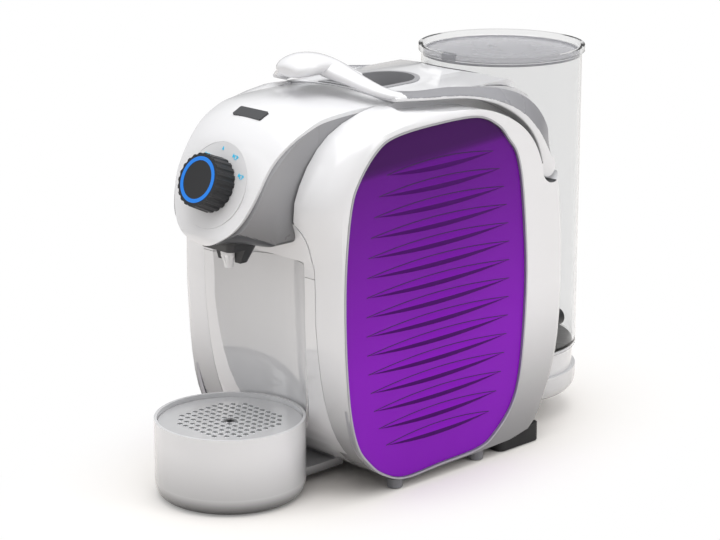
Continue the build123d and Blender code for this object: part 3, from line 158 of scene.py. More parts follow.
class PodFinishes(bpy.types.PropertyGroup):
    """Colours of the machine"""

    case: colour("Case", "E1E1E3", "Gloss white of the case, cap and lever")
    # Painted reflection on the sloping tops of the arms.
    arm_reflection_tint: colour("Arm tops", "8C8C90", "Satin grey of the sloping tops of the arms")
    panel: colour("Panels", "8316B6", "Satin violet of the ribbed side panels")
    # Painted shade on the rib facets that look down.
    painted_rib_shade_tint: colour("Rib undersides", "4A0C68", "Deep violet of the facets under the ribs")
    # Painted reflection above the ribs.
    panel_painted_reflection: colour("Panel tops", "3E0B54", "Deeper violet above the ribs")
    # Painted shadow in the crease above each rib.
    crease_shadow_tint: colour("Creases", "2A0B3C", "Line above each rib")
    bezel: colour("Bezels", "A9A9AE", "Satin silver line round the panels")
    cheek: colour("Cheeks", "98989B", "Satin grey of the cowl under the cap")
    # Painted shade on faces that look down and on the trench floor; also the badge's own dark grey
    # and the deck's line by the tank.
    shade: colour("Undersides", "3C3D40", "Dark grey of the faces that look down at the cup")
    bay: colour("Cup bay", "DCDCDE", "Gloss grey of the wall behind the cup")
    pale: colour("Tray", "DCDCDE", "Gloss pale plastic of the tray and the tank shelf")
    trim: colour("Trim", "77787C", "Satin grey of the base and hidden covers")
    dark: colour("Dark parts", "1E1F22", "Satin near-black of the dial, spout and switch")
    glow: colour("Light ring", "0F80E8", "Lit ring round the knob")
    icons: colour("Icons", "35C4EE", "Cups and drops round the dial")
    clear: colour("Tank", "F0F0F0", "Clear plastic of the tank")
    lid: colour("Tank lid", "C6C6CA", "Frosted plastic of the tank's lid")


class PodSizes(bpy.types.PropertyGroup):
    """Sizes of what repeats on the machine"""

    ribs: IntProperty(name="Ribs", description="Ribs on each panel", default=15, min=1)
    rib_pitch: length("Rib pitch", 14.6, "Distance between the ribs")
    rib_half: length("Rib half length", 76, "Half length of the middle rib")
    rib_field: length("Rib field", 131, "Half height at which a rib would shrink to nothing")
    rib_top: length("Rib top", 4.8, "Height of the facet above a rib's ridge")
    crease_r: length("Crease radius", 0.32, "Half thickness of the line above a rib")
    holes: IntProperty(name="Holes", description="Holes across the grid", default=13, min=1)
    hole_pitch: length("Hole pitch", 6.4, "Distance between the holes in the grid")
    hole_r: length("Hole radius", 1.75, "Radius of a hole in the grid")
    hole_field: length("Hole field", 38, "Radius of the perforated field")
    hole_gap: length("Hole gap", 6, "Radius of the plain middle of the field")
    collar_r: length("Collar thickness", 0.22, "Radius of the rolled edge of a hole")


def finishes():
    return bpy.context.scene.pod_finishes


def sizes():
    return bpy.context.scene.pod_sizes


# ---- nodes --------------------------------------------------------------------------------------
def fill(tree, node, values):
    """Sets a node's inputs, given by name or number, or links them where the value is a socket."""
    for key, value in values.items():
        if isinstance(value, bpy.types.NodeSocket):
            tree.links.new(value, node.inputs[key])
        else:
            node.inputs[key].default_value = value
    return node


def add(tree, kind, values=None, **settings):
    """A new node with its settings and its inputs."""
    node = tree.nodes.new(kind)
    for key, value in settings.items():
        setattr(node, key, value)
    return fill(tree, node, values or {})


def reckon(tree, operation, *values):
    """The result of a maths node on numbers or sockets."""
    return add(tree, "ShaderNodeMath", dict(enumerate(values)), operation=operation).outputs[0]


def object_place(tree):
    """The place of a point on its object, in metres."""
    return add(tree, "ShaderNodeTexCoord").outputs["Object"]


def split(tree, vector):
    """The X, Y and Z of a vector."""
    return add(tree, "ShaderNodeSeparateXYZ", {0: vector}).outputs


def blend(tree, factor, first, second):
    """The colour between two colours, numbers or sockets, at a factor from 0 to 1."""
    return add(tree, "ShaderNodeMix", {"Factor": factor, "A": first, "B": second},
               data_type="RGBA").outputs["Result"]


# ---- shader groups ------------------------------------------------------------------------------
NUMBER, COLOUR = "NodeSocketFloat", "NodeSocketColor"
WHITE = (1, 1, 1, 1)


def new_group(name, inputs, outputs):
    """An empty shader group with named sockets, the values that it is given, and its end node."""
    group = bpy.data.node_groups.new(name, "ShaderNodeTree")
    for label, kind, default in inputs:
        group.interface.new_socket(label, in_out="INPUT", socket_type=kind).default_value = default
    for label, kind in outputs:
        group.interface.new_socket(label, in_out="OUTPUT", socket_type=kind)
    return group, add(group, "NodeGroupInput").outputs, add(group, "NodeGroupOutput")


def noise(group, scale, detail):
    """A noise from 0 to 1 over the object."""
    return add(group, "ShaderNodeTexNoise", {"Vector": object_place(group), "Scale": scale,
                                             "Detail": detail}).outputs["Fac"]


def moulded_grain():
    """Fine texture of a moulded face: a height for bump and a roughness that drifts."""
    group, given, end = new_group(
        "Moulded Grain",
        [("Grain Scale", NUMBER, 900.0), ("Smear Scale", NUMBER, 22.0),
         ("Roughness Low", NUMBER, 0.2), ("Roughness High", NUMBER, 0.3)],
        [("Height", NUMBER), ("Roughness", NUMBER)])
    rough = add(group, "ShaderNodeMapRange", {
        "Value": noise(group, given["Smear Scale"], 4), "From Min": NOISE_LOW,
        "From Max": NOISE_HIGH, "To Min": given["Roughness Low"],
        "To Max": given["Roughness High"]})
    fill(group, end, {"Height": noise(group, given["Grain Scale"], 2),
                      "Roughness": rough.outputs["Result"]})
    return group


def tone_drift():
    """A colour that drifts a little over the part, as moulded plastic does."""
    group, given, end = new_group(
        "Tone Drift",
        [("Colour", COLOUR, WHITE), ("Shade", COLOUR, WHITE), ("Drift Scale", NUMBER, 9.0)],
        [("Colour", COLOUR)])
    drift = noise(group, given["Drift Scale"], 3)
    fill(group, end, {"Colour": blend(group, drift, given["Colour"], given["Shade"])})
    return group


def painted_foot_shade():
    """Painted shade: a colour that deepens towards the foot of a part, from one height down to
    another.
    """
    group, given, end = new_group(
        "Painted Foot Shade",
        [("Colour", COLOUR, WHITE), ("Start", NUMBER, 0.0), ("Height", NUMBER, 0.06),
         ("Depth", NUMBER, 0.4)],
        [("Colour", COLOUR)])
    light = add(group, "ShaderNodeMapRange", {
        "Value": split(group, object_place(group))["Z"], "From Min": given["Start"],
        "From Max": given["Height"], "To Min": given["Depth"]}, interpolation_type="SMOOTHSTEP")
    scaled = add(group, "ShaderNodeVectorMath", {0: given["Colour"],
                                                 "Scale": light.outputs["Result"]},
                 operation="SCALE")
    fill(group, end, {"Colour": scaled.outputs["Vector"]})
    return group


def placed(tree, name, maker, values):
    """A shader group placed with its own values; the first use builds it."""
    group = bpy.data.node_groups.get(name) or maker()
    return add(tree, "ShaderNodeGroup", values, node_tree=group)


# ---- finishes -----------------------------------------------------------------------------------
def finish(name, tint, rough, grain_scale=900.0, grain_depth=0.0, shade=0.94, metallic=0.0,
           coat=0.0, transmission=0.0, ior=1.46, glow=0.0, specular=0.5, foot=None):
    """A procedural finish. rough is the lowest and the highest roughness, and shade is how far
    the colour drifts down. foot is the height where the painted shade at a part's foot is
    deepest, the height where it ends, and the share of the colour that is left where it is deepest."""
    name = "finish_" + name
    found = bpy.data.materials.get(name)
    if found:
        return found
    material = bpy.data.materials.new(name)
    material.use_nodes = True
    tree = material.node_tree
    drift = placed(tree, "Tone Drift", tone_drift,
                   {"Colour": (*tint, 1), "Shade": (*[c * shade for c in tint], 1)})
    base = drift.outputs["Colour"]
    # Painted shade at the part's foot.
    if foot:
        base = placed(tree, "Painted Foot Shade", painted_foot_shade, {
            "Colour": base, "Start": foot[0], "Height": foot[1],
            "Depth": foot[2]}).outputs["Colour"]
    grain = placed(tree, "Moulded Grain", moulded_grain, {
        "Grain Scale": grain_scale, "Roughness Low": rough[0], "Roughness High": rough[1]})
    shader = tree.nodes["Principled BSDF"]
    if glow:
        fill(tree, shader, {"Emission Color": base, "Emission Strength": glow})
        base = (*[c * UNLIT_SHARE for c in tint], 1)
    if grain_depth:
        bump = add(tree, "ShaderNodeBump", {
            "Strength": grain_depth, "Distance": GRAIN_HEIGHT, "Height": grain.outputs["Height"]})
        fill(tree, shader, {"Normal": bump.outputs["Normal"]})
    fill(tree, shader, {
        "Base Color": base, "Roughness": grain.outputs["Roughness"],
        "Specular IOR Level": specular, "Metallic": metallic, "Coat Weight": coat,
        "Coat Roughness": COAT_ROUGHNESS, "Transmission Weight": transmission, "IOR": ior})
    return material


def overlay(material, share, tint):
    """Mixes a colour into a finish by a share from 0 to 1."""
    tree = material.node_tree
    shader = tree.nodes["Principled BSDF"]
    under = shader.inputs["Base Color"].links[0].from_socket
    fill(tree, shader, {"Base Color": blend(tree, share, under, (*tint, 1))})
    return material


def case_white():
    # The case darkens below 130 mm: painted shade from the floor.
    return finish("case_white", finishes().case, (0.12, 0.2), shade=0.97, coat=0.3,
                  foot=(0, 130 * MM, 0.28))


def panel_violet():
    """Violet with a painted reflection: it deepens towards the top of the panel, with a soft step
    above the ribs.
    """
    material = finish("panel_violet", finishes().panel, (0.31, 0.33), shade=0.9, specular=0.12)
    tree = material.node_tree
    place = split(tree, object_place(tree))
    level = reckon(tree, "MULTIPLY_ADD", place["Y"], PANEL_REFLECTION_LEAN, place["Z"])
    ramp = add(tree, "ShaderNodeValToRGB", {"Fac": level})
    stops = ramp.color_ramp.elements
    for at, share in PANEL_REFLECTION_STOPS[2:]:
        stops.new(at)
    for stop, (at, share) in zip(stops, PANEL_REFLECTION_STOPS):
        stop.position = at
        stop.color = (share, share, share, 1)
    return overlay(material, ramp.outputs["Color"], finishes().panel_painted_reflection)


def deck_white():
    """White with a dark line along the edge that hugs the tank."""
    material = finish("deck_white", finishes().case, (0.12, 0.2), shade=0.97, coat=0.3)
    tree = material.node_tree
    low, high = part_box("water_tank")
    from_axis = add(tree, "ShaderNodeVectorMath", {
        0: object_place(tree), 1: (1, 1, 0), 2: (0, -(low.y + high.y) / 2, 0)},
        operation="MULTIPLY_ADD")
    reach = add(tree, "ShaderNodeVectorMath", {0: from_axis.outputs["Vector"]},
                operation="LENGTH")
    edge = reckon(tree, "LESS_THAN", reach.outputs["Value"], (high.x - low.x) / 2 + DECK_LINE)
    return overlay(material, edge, finishes().shade)


def arm_painted_reflection():
    # Grey of the painted reflection on the arm tops.
    return finish("arm_painted_reflection", finishes().arm_reflection_tint, (0.2, 0.3), shade=0.96)


def painted_shade_and_badge_grey():
    # Painted shade on faces that look down and on the trench floor, and the badge's own dark grey.
    return finish("painted_shade_and_badge_grey", finishes().shade, (0.3, 0.42), grain_depth=0.05, shade=0.85)


def frosted_lid():
    return finish("frosted_lid", finishes().lid, (0.18, 0.28), shade=0.95, transmission=0.55,
                  ior=1.3)


def painted_crease_shadow():
    # Painted shadow in the crease above each rib.
    return finish("painted_crease_shadow", finishes().crease_shadow_tint, (0.4, 0.5))


def bezel_silver():
    return finish("bezel_silver", finishes().bezel, (0.28, 0.36), metallic=0.55)


def cheek_grey():
    # The cowl darkens towards its lower edge: painted shade.
    return finish("cheek_grey", finishes().cheek, (0.26, 0.36), shade=0.92,
                  foot=(185 * MM, 250 * MM, 0.45))


def bay_grey():
    return finish("bay_grey", finishes().bay, (0.05, 0.1), shade=0.94, coat=1.0, specular=1.0)


def tray_pale():
    # The tray darkens towards the floor: painted shade.
    return finish("tray_pale", finishes().pale, (0.12, 0.2), shade=0.96, coat=0.4,
                  foot=(0, 50 * MM, 0.6))


def base_pale():
    # The base darkens almost to black at the floor: painted contact shadow.
    return finish("base_pale", finishes().pale, (0.12, 0.2), shade=0.92, coat=0.4,
                  foot=(0, 20 * MM, 0.08))


def grid_bright():
    return finish("grid_bright", finishes().case, (0.1, 0.16), shade=0.92, metallic=0.35, coat=0.6)


def painted_rib_shade():
    """Painted shade on the facets of the ribs that look down."""
    return finish("painted_rib_shade", finishes().painted_rib_shade_tint, (0.4, 0.44), shade=0.85, specular=0.04)


def trim_grey():
    return finish("trim_grey", finishes().trim, (0.36, 0.5), grain_depth=0.1, shade=0.9)


def dark_satin():
    return finish("dark_satin", finishes().dark, (0.3, 0.42), grain_depth=0.08, shade=0.8)


def rubber_black():
    return finish("rubber_black", linear("1C1C1E"), (0.55, 0.7), grain_scale=500,
                  grain_depth=0.25, shade=0.8)


def chrome():
    return finish("chrome", linear("D8DADD"), (0.04, 0.1), metallic=1.0, shade=0.96)


def brushed_steel():
    return finish("brushed_steel", linear("B4B4B6"), (0.25, 0.4), metallic=1.0, shade=0.9)


def ring_glow():
    return finish("ring_glow", finishes().glow, (0.3, 0.4), glow=0.9)


def icon_glow():
    return finish("icon_glow", finishes().icons, (0.3, 0.4), glow=0.8)


def clear_plastic():
    return finish("clear_plastic", finishes().clear, (0.01, 0.03), shade=0.99, transmission=1.0,
                  ior=1.2)


def pump_coat():
    return finish("pump_coat", linear("4A4C50"), (0.35, 0.5), shade=0.85, metallic=0.4)


def board_green():
    return finish("board_green", linear("1E5A32"), (0.3, 0.45), shade=0.75)


# ---- pieces -------------------------------------------------------------------------------------
def body_of(node):
    return frame["nodes"][node]["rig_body"]


def record_slot(node):
    """The record's finish of a CAD node."""
    return next(part["material_slot"] for part in frame["record"]["subparts"]
                if part["node"] == node)


def add_object(name, data):
    """A new object in the scene, at the origin."""
    made = bpy.data.objects.new(name, data)
    bpy.context.scene.collection.objects.link(made)
    return made


def smooth(mesh, sharp):
    """Smooth shading, with the edges sharp where faces meet at more than an angle in degrees."""
    mesh.shade_smooth()
    mesh.set_sharp_from_angle(angle=math.radians(sharp))


def closed_mesh(node, name):
    """A CAD node's triangles with their shared corners merged, as a new mesh."""
    shape = bmesh.new()
    shape.from_mesh(frame["nodes"][node].data)
    bmesh.ops.remove_doubles(shape, verts=shape.verts, dist=MERGE_GAP)
    bmesh.ops.dissolve_degenerate(shape, edges=shape.edges, dist=SLIVER)
    shape.verts.index_update()
    corners = [v.co.copy() for v in shape.verts]
    faces = [[v.index for v in face.verts] for face in shape.faces]
    shape.free()
    mesh = bpy.data.meshes.new(name)
    mesh.from_pydata(corners, [], faces)
    return mesh


def skin(node, material, sharp=SHARP, second=None, where=None):
    """A twin of a CAD node, which it stands for: smooth up to the sharp angle, or flat with 0.
    Faces for which where is true get the second material."""
    mesh = closed_mesh(node, f"{node}_skin")
    mesh.materials.append(material)
    if second:
        mesh.materials.append(second)
        for face in mesh.polygons:
            face.material_index = int(where(face))
    if sharp:
        smooth(mesh, sharp)
    twin = add_object(f"{node}_skin", mesh)
    record_slot(node)
    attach(twin, body_of(node))
    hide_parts(node)


def both_sides(node, material, **more):
    """Skins the right and the left one of a pair of nodes."""
    for side in ("right", "left"):
        skin(f"{node}_{side}", material, **more)


def dress(node, material):
    """A CAD node keeps its shape and gets a finish."""
    mesh = frame["nodes"][node].data
    mesh.materials.clear()
    mesh.materials.append(material)


def painted_shade_below(face):
    # Faces that look down get painted shade.
    return face.normal.z < DOWN_SLOPE


def painted_rib_shade_faces(face):
    # Rib facets that look down get painted shade.
    return face.normal.z < RIB_SLOPE


def arm_reflection_faces(face):
    """The sloping tops of the lever's arms, which get a painted reflection."""
    place = face.center
    return abs(place.x) > ARM_INNER and place.y > ARM_FRONT and face.normal.z > ARM_SLOPE


def painted_trench_shadow(face):
    """The floor of the trench that the arms drop into, behind the deck's middle, which gets painted
    shadow.
    """
    place = face.center
    return (abs(place.x) > TRENCH_INNER and TRENCH_FRONT < place.y < TRENCH_BACK
            and place.z > TRENCH_LOW and abs(face.normal.x) < TRENCH_TURN)


# ---- prints on the dial -------------------------------------------------------------------------
def cup_outlines():
    """A cup from the side, as three outlines: its bowl, the line across its rim, and its ear."""
    half, rise, line = CUP_HALF, CUP_RISE, CUP_LINE
    inner, foot, ear_top = half - line, 0.65 * half, 0.7 * rise
    bowl = [(-half, rise), (-foot, -rise), (foot, -rise), (half, rise), (inner, rise),
            (foot - line, line - rise), (line - foot, line - rise), (-inner, rise)]
    rim = [(-inner, rise - line), (inner, rise - line), (inner, rise), (-inner, rise)]
    ear = [(half, ear_top), (0.93 * half, ear_top - line), (half + line, ear_top - line),
           (half + 0.75 * line, 0), (0.8 * half, -0.4 * line), (0.75 * half, -line),
           (half + 1.5 * line, -line), (half + 2.25 * line, ear_top)]
    return bowl, rim, ear


def drop_outline():
    """A round drop that narrows to a tip."""
    turns = [math.radians(DROP_START + DROP_SWEEP * i / DROP_STEPS)
             for i in range(DROP_STEPS + 1)]
    belly = [(DROP_R * math.cos(turn), DROP_R * math.sin(turn) - DROP_SINK) for turn in turns]
    return belly + [(0, DROP_TIP)]


def add_prism(shape, foot, top):
    """A closed solid between two outlines with as many points."""
    low, high = [[shape.verts.new(point) for point in outline] for outline in (foot, top)]
    shape.faces.new(high)
    shape.faces.new(low[::-1])
    for i in range(len(low)):
        j = (i + 1) % len(low)
        shape.faces.new((low[i], low[j], high[j], high[i]))


def dial_icon_prints():
    """A drop, or a drop beside a cup, at each turn of the dial, printed where the CAD icons lie."""
    hinge = next(joint for joint in frame["joints"] if joint["name"] == "dial_turn")
    axis = Vector(hinge["axis"]).normalized()
    hub = Vector(hinge["pos_m"])
    up = (Vector((0, 0, 1)) - axis * axis.z).normalized()
    right = axis.cross(up) * -1
    lift = [(v.co - hub).dot(axis) for v in frame["nodes"]["dial_icons"].data.vertices]
    levels = (min(lift), max(lift))
    shape = bmesh.new()
    for turn, orbit, with_cup in DIAL_PRINTS:
        marks = [(drop_outline(), DROP_ASIDE if with_cup else 0, DROP_LIFT)]
        if with_cup:
            marks += [(outline, CUP_ASIDE, CUP_LIFT) for outline in cup_outlines()]
        x = -orbit * math.sin(math.radians(turn))
        y = orbit * math.cos(math.radians(turn))
        for outline, aside, above in marks:
            add_prism(shape, *[[hub + axis * level + right * (x + aside + a)
                                + up * (y + above + b) for a, b in outline]
                               for level in levels])
    bmesh.ops.recalc_face_normals(shape, faces=shape.faces)
    mesh = bpy.data.meshes.new("dial_icon_prints")
    shape.to_mesh(mesh)
    shape.free()
    mesh.materials.append(icon_glow())
    piece = add_object("dial_icon_prints", mesh)
    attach(piece, "machine")
    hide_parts("dial_icons")


# ---- geometry nodes -----------------------------------------------------------------------------
WHOLE, VECTOR = "NodeSocketInt", "NodeSocketVector"


class Tree:
    """A geometry node tree with named inputs, a material among them."""

    def __init__(self, name, inputs):
        self.tree = bpy.data.node_groups.new(name, "GeometryNodeTree")
        sockets = self.tree.interface
        sockets.new_socket("Geometry", in_out="OUTPUT", socket_type="NodeSocketGeometry")
        for label, kind in [*inputs, ("Material", "NodeSocketMaterial")]:
            sockets.new_socket(label, in_out="INPUT", socket_type=kind)
        self.given = add(self.tree, "NodeGroupInput").outputs

    def node(self, kind, values=None, **settings):
        """The first output of a new node."""
        return add(self.tree, kind, values, **settings).outputs[0]

    def reckon(self, operation, *values):
        return reckon(self.tree, operation, *values)

    def place(self):
        """The X, Y and Z of each point's place."""
        return split(self.tree, self.node("GeometryNodeInputPosition"))

    def close(self, geometry):
        """Moves the geometry to its middle, makes it real and gives it the material."""
        moved = self.node("GeometryNodeTransform", {"Geometry": geometry,
                                                    "Translation": self.given["Middle"]})
        real = self.node("GeometryNodeRealizeInstances", {"Geometry": moved})
        coat = self.node("GeometryNodeSetMaterial", {"Geometry": real,
                                                     "Material": self.given["Material"]})
        add(self.tree, "NodeGroupOutput", {"Geometry": coat})

    def grow(self, name, values, body):
        """Runs the tree and keeps its result as a plain mesh on a body."""
        host = add_object(f"{name}_host", bpy.data.meshes.new(f"{name}_host"))
        modifier = host.modifiers.new("grow", "NODES")
        modifier.node_group = self.tree
        for item in self.tree.interface.items_tree:
            if item.in_out == "INPUT":
                modifier[item.identifier] = values[item.name]
        bpy.context.view_layer.update()
        ready = host.evaluated_get(bpy.context.evaluated_depsgraph_get())
        mesh = bpy.data.meshes.new_from_object(ready)
        mesh.name = name
        bpy.data.objects.remove(host)
        smooth(mesh, GROWN_SHARP)
        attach(add_object(name, mesh), body)


def crease_tree():
    """A flat arc above each rib, a dark line of painted crease shadow: the arcs are stacked at
    the pitch and shrink towards the ends.
    """
    tree = Tree("Rib Crease Shadows", [
        ("Count", WHOLE), ("Pitch", NUMBER), ("Half Length", NUMBER), ("Field", NUMBER),
        ("Rise", NUMBER), ("Thickness", NUMBER), ("Middle", VECTOR)])
    given = tree.given
    gaps = tree.reckon("SUBTRACT", given["Count"], 1.0)
    half_stack = tree.reckon("MULTIPLY", tree.reckon("MULTIPLY", gaps, given["Pitch"]), 0.5)
    stack = tree.node("GeometryNodeMeshLine", {
        "Count": given["Count"],
        "Start Location": tree.node("ShaderNodeCombineXYZ",
                                    {"Z": tree.reckon("MULTIPLY", half_stack, -1.0)}),
        "Offset": tree.node("ShaderNodeCombineXYZ", {"Z": given["Pitch"]})})

    line = tree.node("GeometryNodeCurvePrimitiveLine", {"Start": (0, -1, 0), "End": (0, 1, 0)})
    fine = tree.node("GeometryNodeResampleCurve", {"Curve": line, "Count": CREASE_POINTS})
    along = tree.place()["Y"]
    bow = tree.reckon("SUBTRACT", 1.0, tree.reckon("MULTIPLY", along, along))
    arc = tree.node("GeometryNodeSetPosition", {
        "Geometry": fine, "Offset": tree.node("ShaderNodeCombineXYZ", {"Z": bow})})

    height = tree.reckon("ABSOLUTE", tree.place()["Z"])
    share = tree.reckon("DIVIDE", height, given["Field"])
    left = tree.reckon("SUBTRACT", 1.0, tree.reckon("POWER", share, FIELD_POWER))
    width = tree.reckon("POWER", left, 1 / FIELD_POWER)
    reach = tree.reckon("MULTIPLY", width, given["Half Length"])
    arcs = tree.node("GeometryNodeInstanceOnPoints", {
        "Points": stack, "Instance": arc,
        "Scale": tree.node("ShaderNodeCombineXYZ", {"X": 1.0, "Y": reach, "Z": given["Rise"]})})
    ring = tree.node("GeometryNodeCurvePrimitiveCircle", {"Resolution": CREASE_SIDES,
                                                          "Radius": given["Thickness"]})
    tree.close(tree.node("GeometryNodeCurveToMesh", {
        "Curve": tree.node("GeometryNodeRealizeInstances", {"Geometry": arcs}),
        "Profile Curve": ring, "Fill Caps": True}))
    return tree


def collar_tree():
    """A rolled edge round each hole of a square lattice, inside a round field."""
    tree = Tree("Hole Collars", [
        ("Across", WHOLE), ("Pitch", NUMBER), ("Field", NUMBER), ("Middle Gap", NUMBER),
        ("Radius", NUMBER), ("Thickness", NUMBER), ("Middle", VECTOR)])
    given = tree.given
    span = tree.reckon("MULTIPLY", tree.reckon("SUBTRACT", given["Across"], 1.0), given["Pitch"])
    lattice = tree.node("GeometryNodeMeshGrid", {
        "Size X": span, "Size Y": span, "Vertices X": given["Across"],
        "Vertices Y": given["Across"]})
    spot = tree.node("GeometryNodeInputPosition")
    far = add(tree.tree, "ShaderNodeVectorMath", {0: spot}, operation="LENGTH").outputs["Value"]
    spare = tree.reckon("MAXIMUM", tree.reckon("GREATER_THAN", far, given["Field"]),
                     tree.reckon("LESS_THAN", far, given["Middle Gap"]))
    kept = tree.node("GeometryNodeDeleteGeometry", {"Geometry": lattice, "Selection": spare})
    loop = tree.node("GeometryNodeCurvePrimitiveCircle", {"Resolution": COLLAR_STEPS,
                                                          "Radius": given["Radius"]})
    bead = tree.node("GeometryNodeCurvePrimitiveCircle", {"Resolution": COLLAR_SIDES,
                                                          "Radius": given["Thickness"]})
    collar = tree.node("GeometryNodeCurveToMesh", {"Curve": loop, "Profile Curve": bead})
    tree.close(tree.node("GeometryNodeInstanceOnPoints", {"Points": kept, "Instance": collar}))
    return tree


# ---- operators ----------------------------------------------------------------------------------
class PODMACHINE_OT_case(bpy.types.Operator):
    """Smooth case halves, bezels, rear cover, base and feet"""

    bl_idname = "podmachine.case"
    bl_label = "Case"

    def execute(self, context):
        # The trench floor under the arms gets painted shadow.
        both_sides("side_housing", case_white(), sharp=HOUSING_SHARP, second=painted_shade_and_badge_grey(),
                   where=painted_trench_shadow)
        both_sides("panel_bezel", bezel_silver())
        skin("rear_cover", case_white())
        skin("base_plate", trim_grey())
        skin("feet", trim_grey())
        skin("rear_pads", rubber_black())
        skin("power_inlet", dark_satin())
        skin("switch_bezel", dark_satin())
        skin("power_switch", dark_satin())
        return {"FINISHED"}


class PODMACHINE_OT_panels(bpy.types.Operator):
    """Violet side panels with painted shade, a painted reflection and painted crease shadows"""

    bl_idname = "podmachine.panels"
    bl_label = "Ribbed panels"

    def execute(self, context):
        # The rib facets that look down get painted shade.
        both_sides("side_panel", panel_violet(), sharp=0, second=painted_rib_shade(),
                   where=painted_rib_shade_faces)
        given = sizes()
        tree = crease_tree()
        for side, name in ((1, "right"), (-1, "left")):
            low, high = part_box(f"side_panel_{name}")
            face_x = max(abs(low.x), abs(high.x)) - CREASE_DEPTH
            tree.grow(f"rib_creases_{name}", {
                "Count": given.ribs, "Pitch": given.rib_pitch, "Half Length": given.rib_half,
                "Field": given.rib_field, "Rise": given.rib_top, "Thickness": given.crease_r,
                "Middle": (side * face_x, PANEL_Y, PANEL_Z), "Material": painted_crease_shadow()},
                "machine")
        return {"FINISHED"}


class PODMACHINE_OT_head(bpy.types.Operator):
    """Cap, cowl, deck, capsule chute and cup bay arch"""

    bl_idname = "podmachine.head"
    bl_label = "Head and deck"

    def execute(self, context):
        skin("head_cap", case_white())
        # The faces of the cowl and the bay arch that look down get painted shade.
        skin("head_cowl", cheek_grey(), second=painted_shade_and_badge_grey(), where=painted_shade_below)
        skin("top_deck", deck_white())
        skin("capsule_chute", cheek_grey())
        skin("bay_arch", tray_pale(), second=painted_shade_and_badge_grey(), where=painted_shade_below)
        skin("badge_plate", painted_shade_and_badge_grey())
        return {"FINISHED"}


class PODMACHINE_OT_dial(bpy.types.Operator):
    """Fluted dial with its lit ring and icons"""

    bl_idname = "podmachine.dial"
    bl_label = "Dial"

    def execute(self, context):
        skin("dial_plate", case_white())
        dial_icon_prints()
        skin("dial_knob", dark_satin())
        skin("dial_light_ring", ring_glow())
        skin("dial_face", dark_satin())
        return {"FINISHED"}


class PODMACHINE_OT_spout(bpy.types.Operator):
    """Spout bracket and nozzle"""

    bl_idname = "podmachine.spout"
    bl_label = "Spout"

    def execute(self, context):
        skin("spout_bracket", dark_satin())
        skin("spout_nozzle", case_white())
        return {"FINISHED"}


class PODMACHINE_OT_lever(bpy.types.Operator):
    """Wishbone lever and its pins"""

    bl_idname = "podmachine.lever"
    bl_label = "Lever"

    def execute(self, context):
        # The sloping tops of the arms get a painted reflection.
        skin("lever", case_white(), sharp=LEVER_SHARP, second=arm_painted_reflection(), where=arm_reflection_faces)
        skin("lever_pins", brushed_steel())
        return {"FINISHED"}


class PODMACHINE_OT_drawer(bpy.types.Operator):
    """Cup bay drawer, drip tray and perforated grid"""

    bl_idname = "podmachine.drawer"
    bl_label = "Drawer and tray"

    def execute(self, context):
        skin("drawer_front", bay_grey())
        skin("bay_wall", bay_grey())
        skin("tray_base", base_pale())
        skin("drip_tray", tray_pale())
        skin("drip_grid", grid_bright())
        given = sizes()
        low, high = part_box("drip_grid")
        collar_tree().grow("grid_collars", {
            "Across": given.holes, "Pitch": given.hole_pitch, "Field": given.hole_field,
            "Middle Gap": given.hole_gap, "Radius": given.hole_r + 0.5 * given.collar_r,
            "Thickness": given.collar_r,
            "Middle": ((low.x + high.x) / 2, (low.y + high.y) / 2, high.z),
            "Material": chrome()}, "grid")
        return {"FINISHED"}


class PODMACHINE_OT_tank(bpy.types.Operator):
    """Clear water tank, its lid and its shelf"""

    bl_idname = "podmachine.tank"
    bl_label = "Water tank"

    def execute(self, context):
        skin("water_tank", clear_plastic())
        skin("tank_lid", frosted_lid())
        skin("tank_valve", tray_pale())
        skin("tank_shelf", tray_pale())
        skin("tank_socket", dark_satin())
        return {"FINISHED"}


class PODMACHINE_OT_works(bpy.types.Operator):
    """Finishes of the parts inside the case"""

    bl_idname = "podmachine.works"
    bl_label = "Works"

    def execute(self, context):
        for nodes, material in (
                (("boiler", "case_screws"), brushed_steel()),
                (("pump",), pump_coat()),
                (("control_board",), board_green()),
                (("suction_hose", "pressure_hose", "coffee_hose", "socket_seal", "piston_seal",
                  "pump_mounts"), rubber_black()),
                (("dial_encoder", "flow_meter"), dark_satin()),
                (("frame_plate_right", "frame_plate_left", "frame_shelves", "brew_frame",
                  "brew_head", "brew_piston", "capsule_bin", "drawer_floor"), trim_grey())):
            for node in nodes:
                dress(node, material)
        return {"FINISHED"}


class PODMACHINE_OT_stage(bpy.types.Operator):
    """Pale floor, soft lamps and the camera"""

    bl_idname = "podmachine.stage"
    bl_label = "Stage"

    def execute(self, context):
        context.scene.view_settings.view_transform = "Standard"
        make_camera(context.scene)
        make_floor()
        make_world(context.scene)
        make_lamps()
        return {"FINISHED"}


# ---- stage --------------------------------------------------------------------------------------
def turned_along(line):
    """The turn of a camera or lamp that looks along a line."""
    return Vector(line).to_track_quat("-Z", "Y").to_euler()


def make_camera(scene):
    """A long lens that looks at the machine from the front right, a little above it."""
    data = bpy.data.cameras.new("camera")
    data.lens = CAMERA_LENS
    data.sensor_width = CAMERA_SENSOR
    camera = add_object("camera", data)
    camera.location = CAMERA_PLACE
    camera.rotation_euler = turned_along(CAMERA_LINE)
    scene.camera = camera


def seen(tree):
    """1 for rays from the camera or through clear plastic, and 0 for all others."""
    path = add(tree, "ShaderNodeLightPath").outputs
    return reckon(tree, "MAXIMUM", path["Is Camera Ray"], path["Is Transmission Ray"])


def mix_shaders(tree, factor, first, second, end):
    """Ends a tree in a mix of two shaders."""
    mix = add(tree, "ShaderNodeMixShader", {"Fac": factor, 1: first.outputs[0],
                                            2: second.outputs[0]})
    fill(tree, tree.nodes[end], {"Surface": mix.outputs[0]})


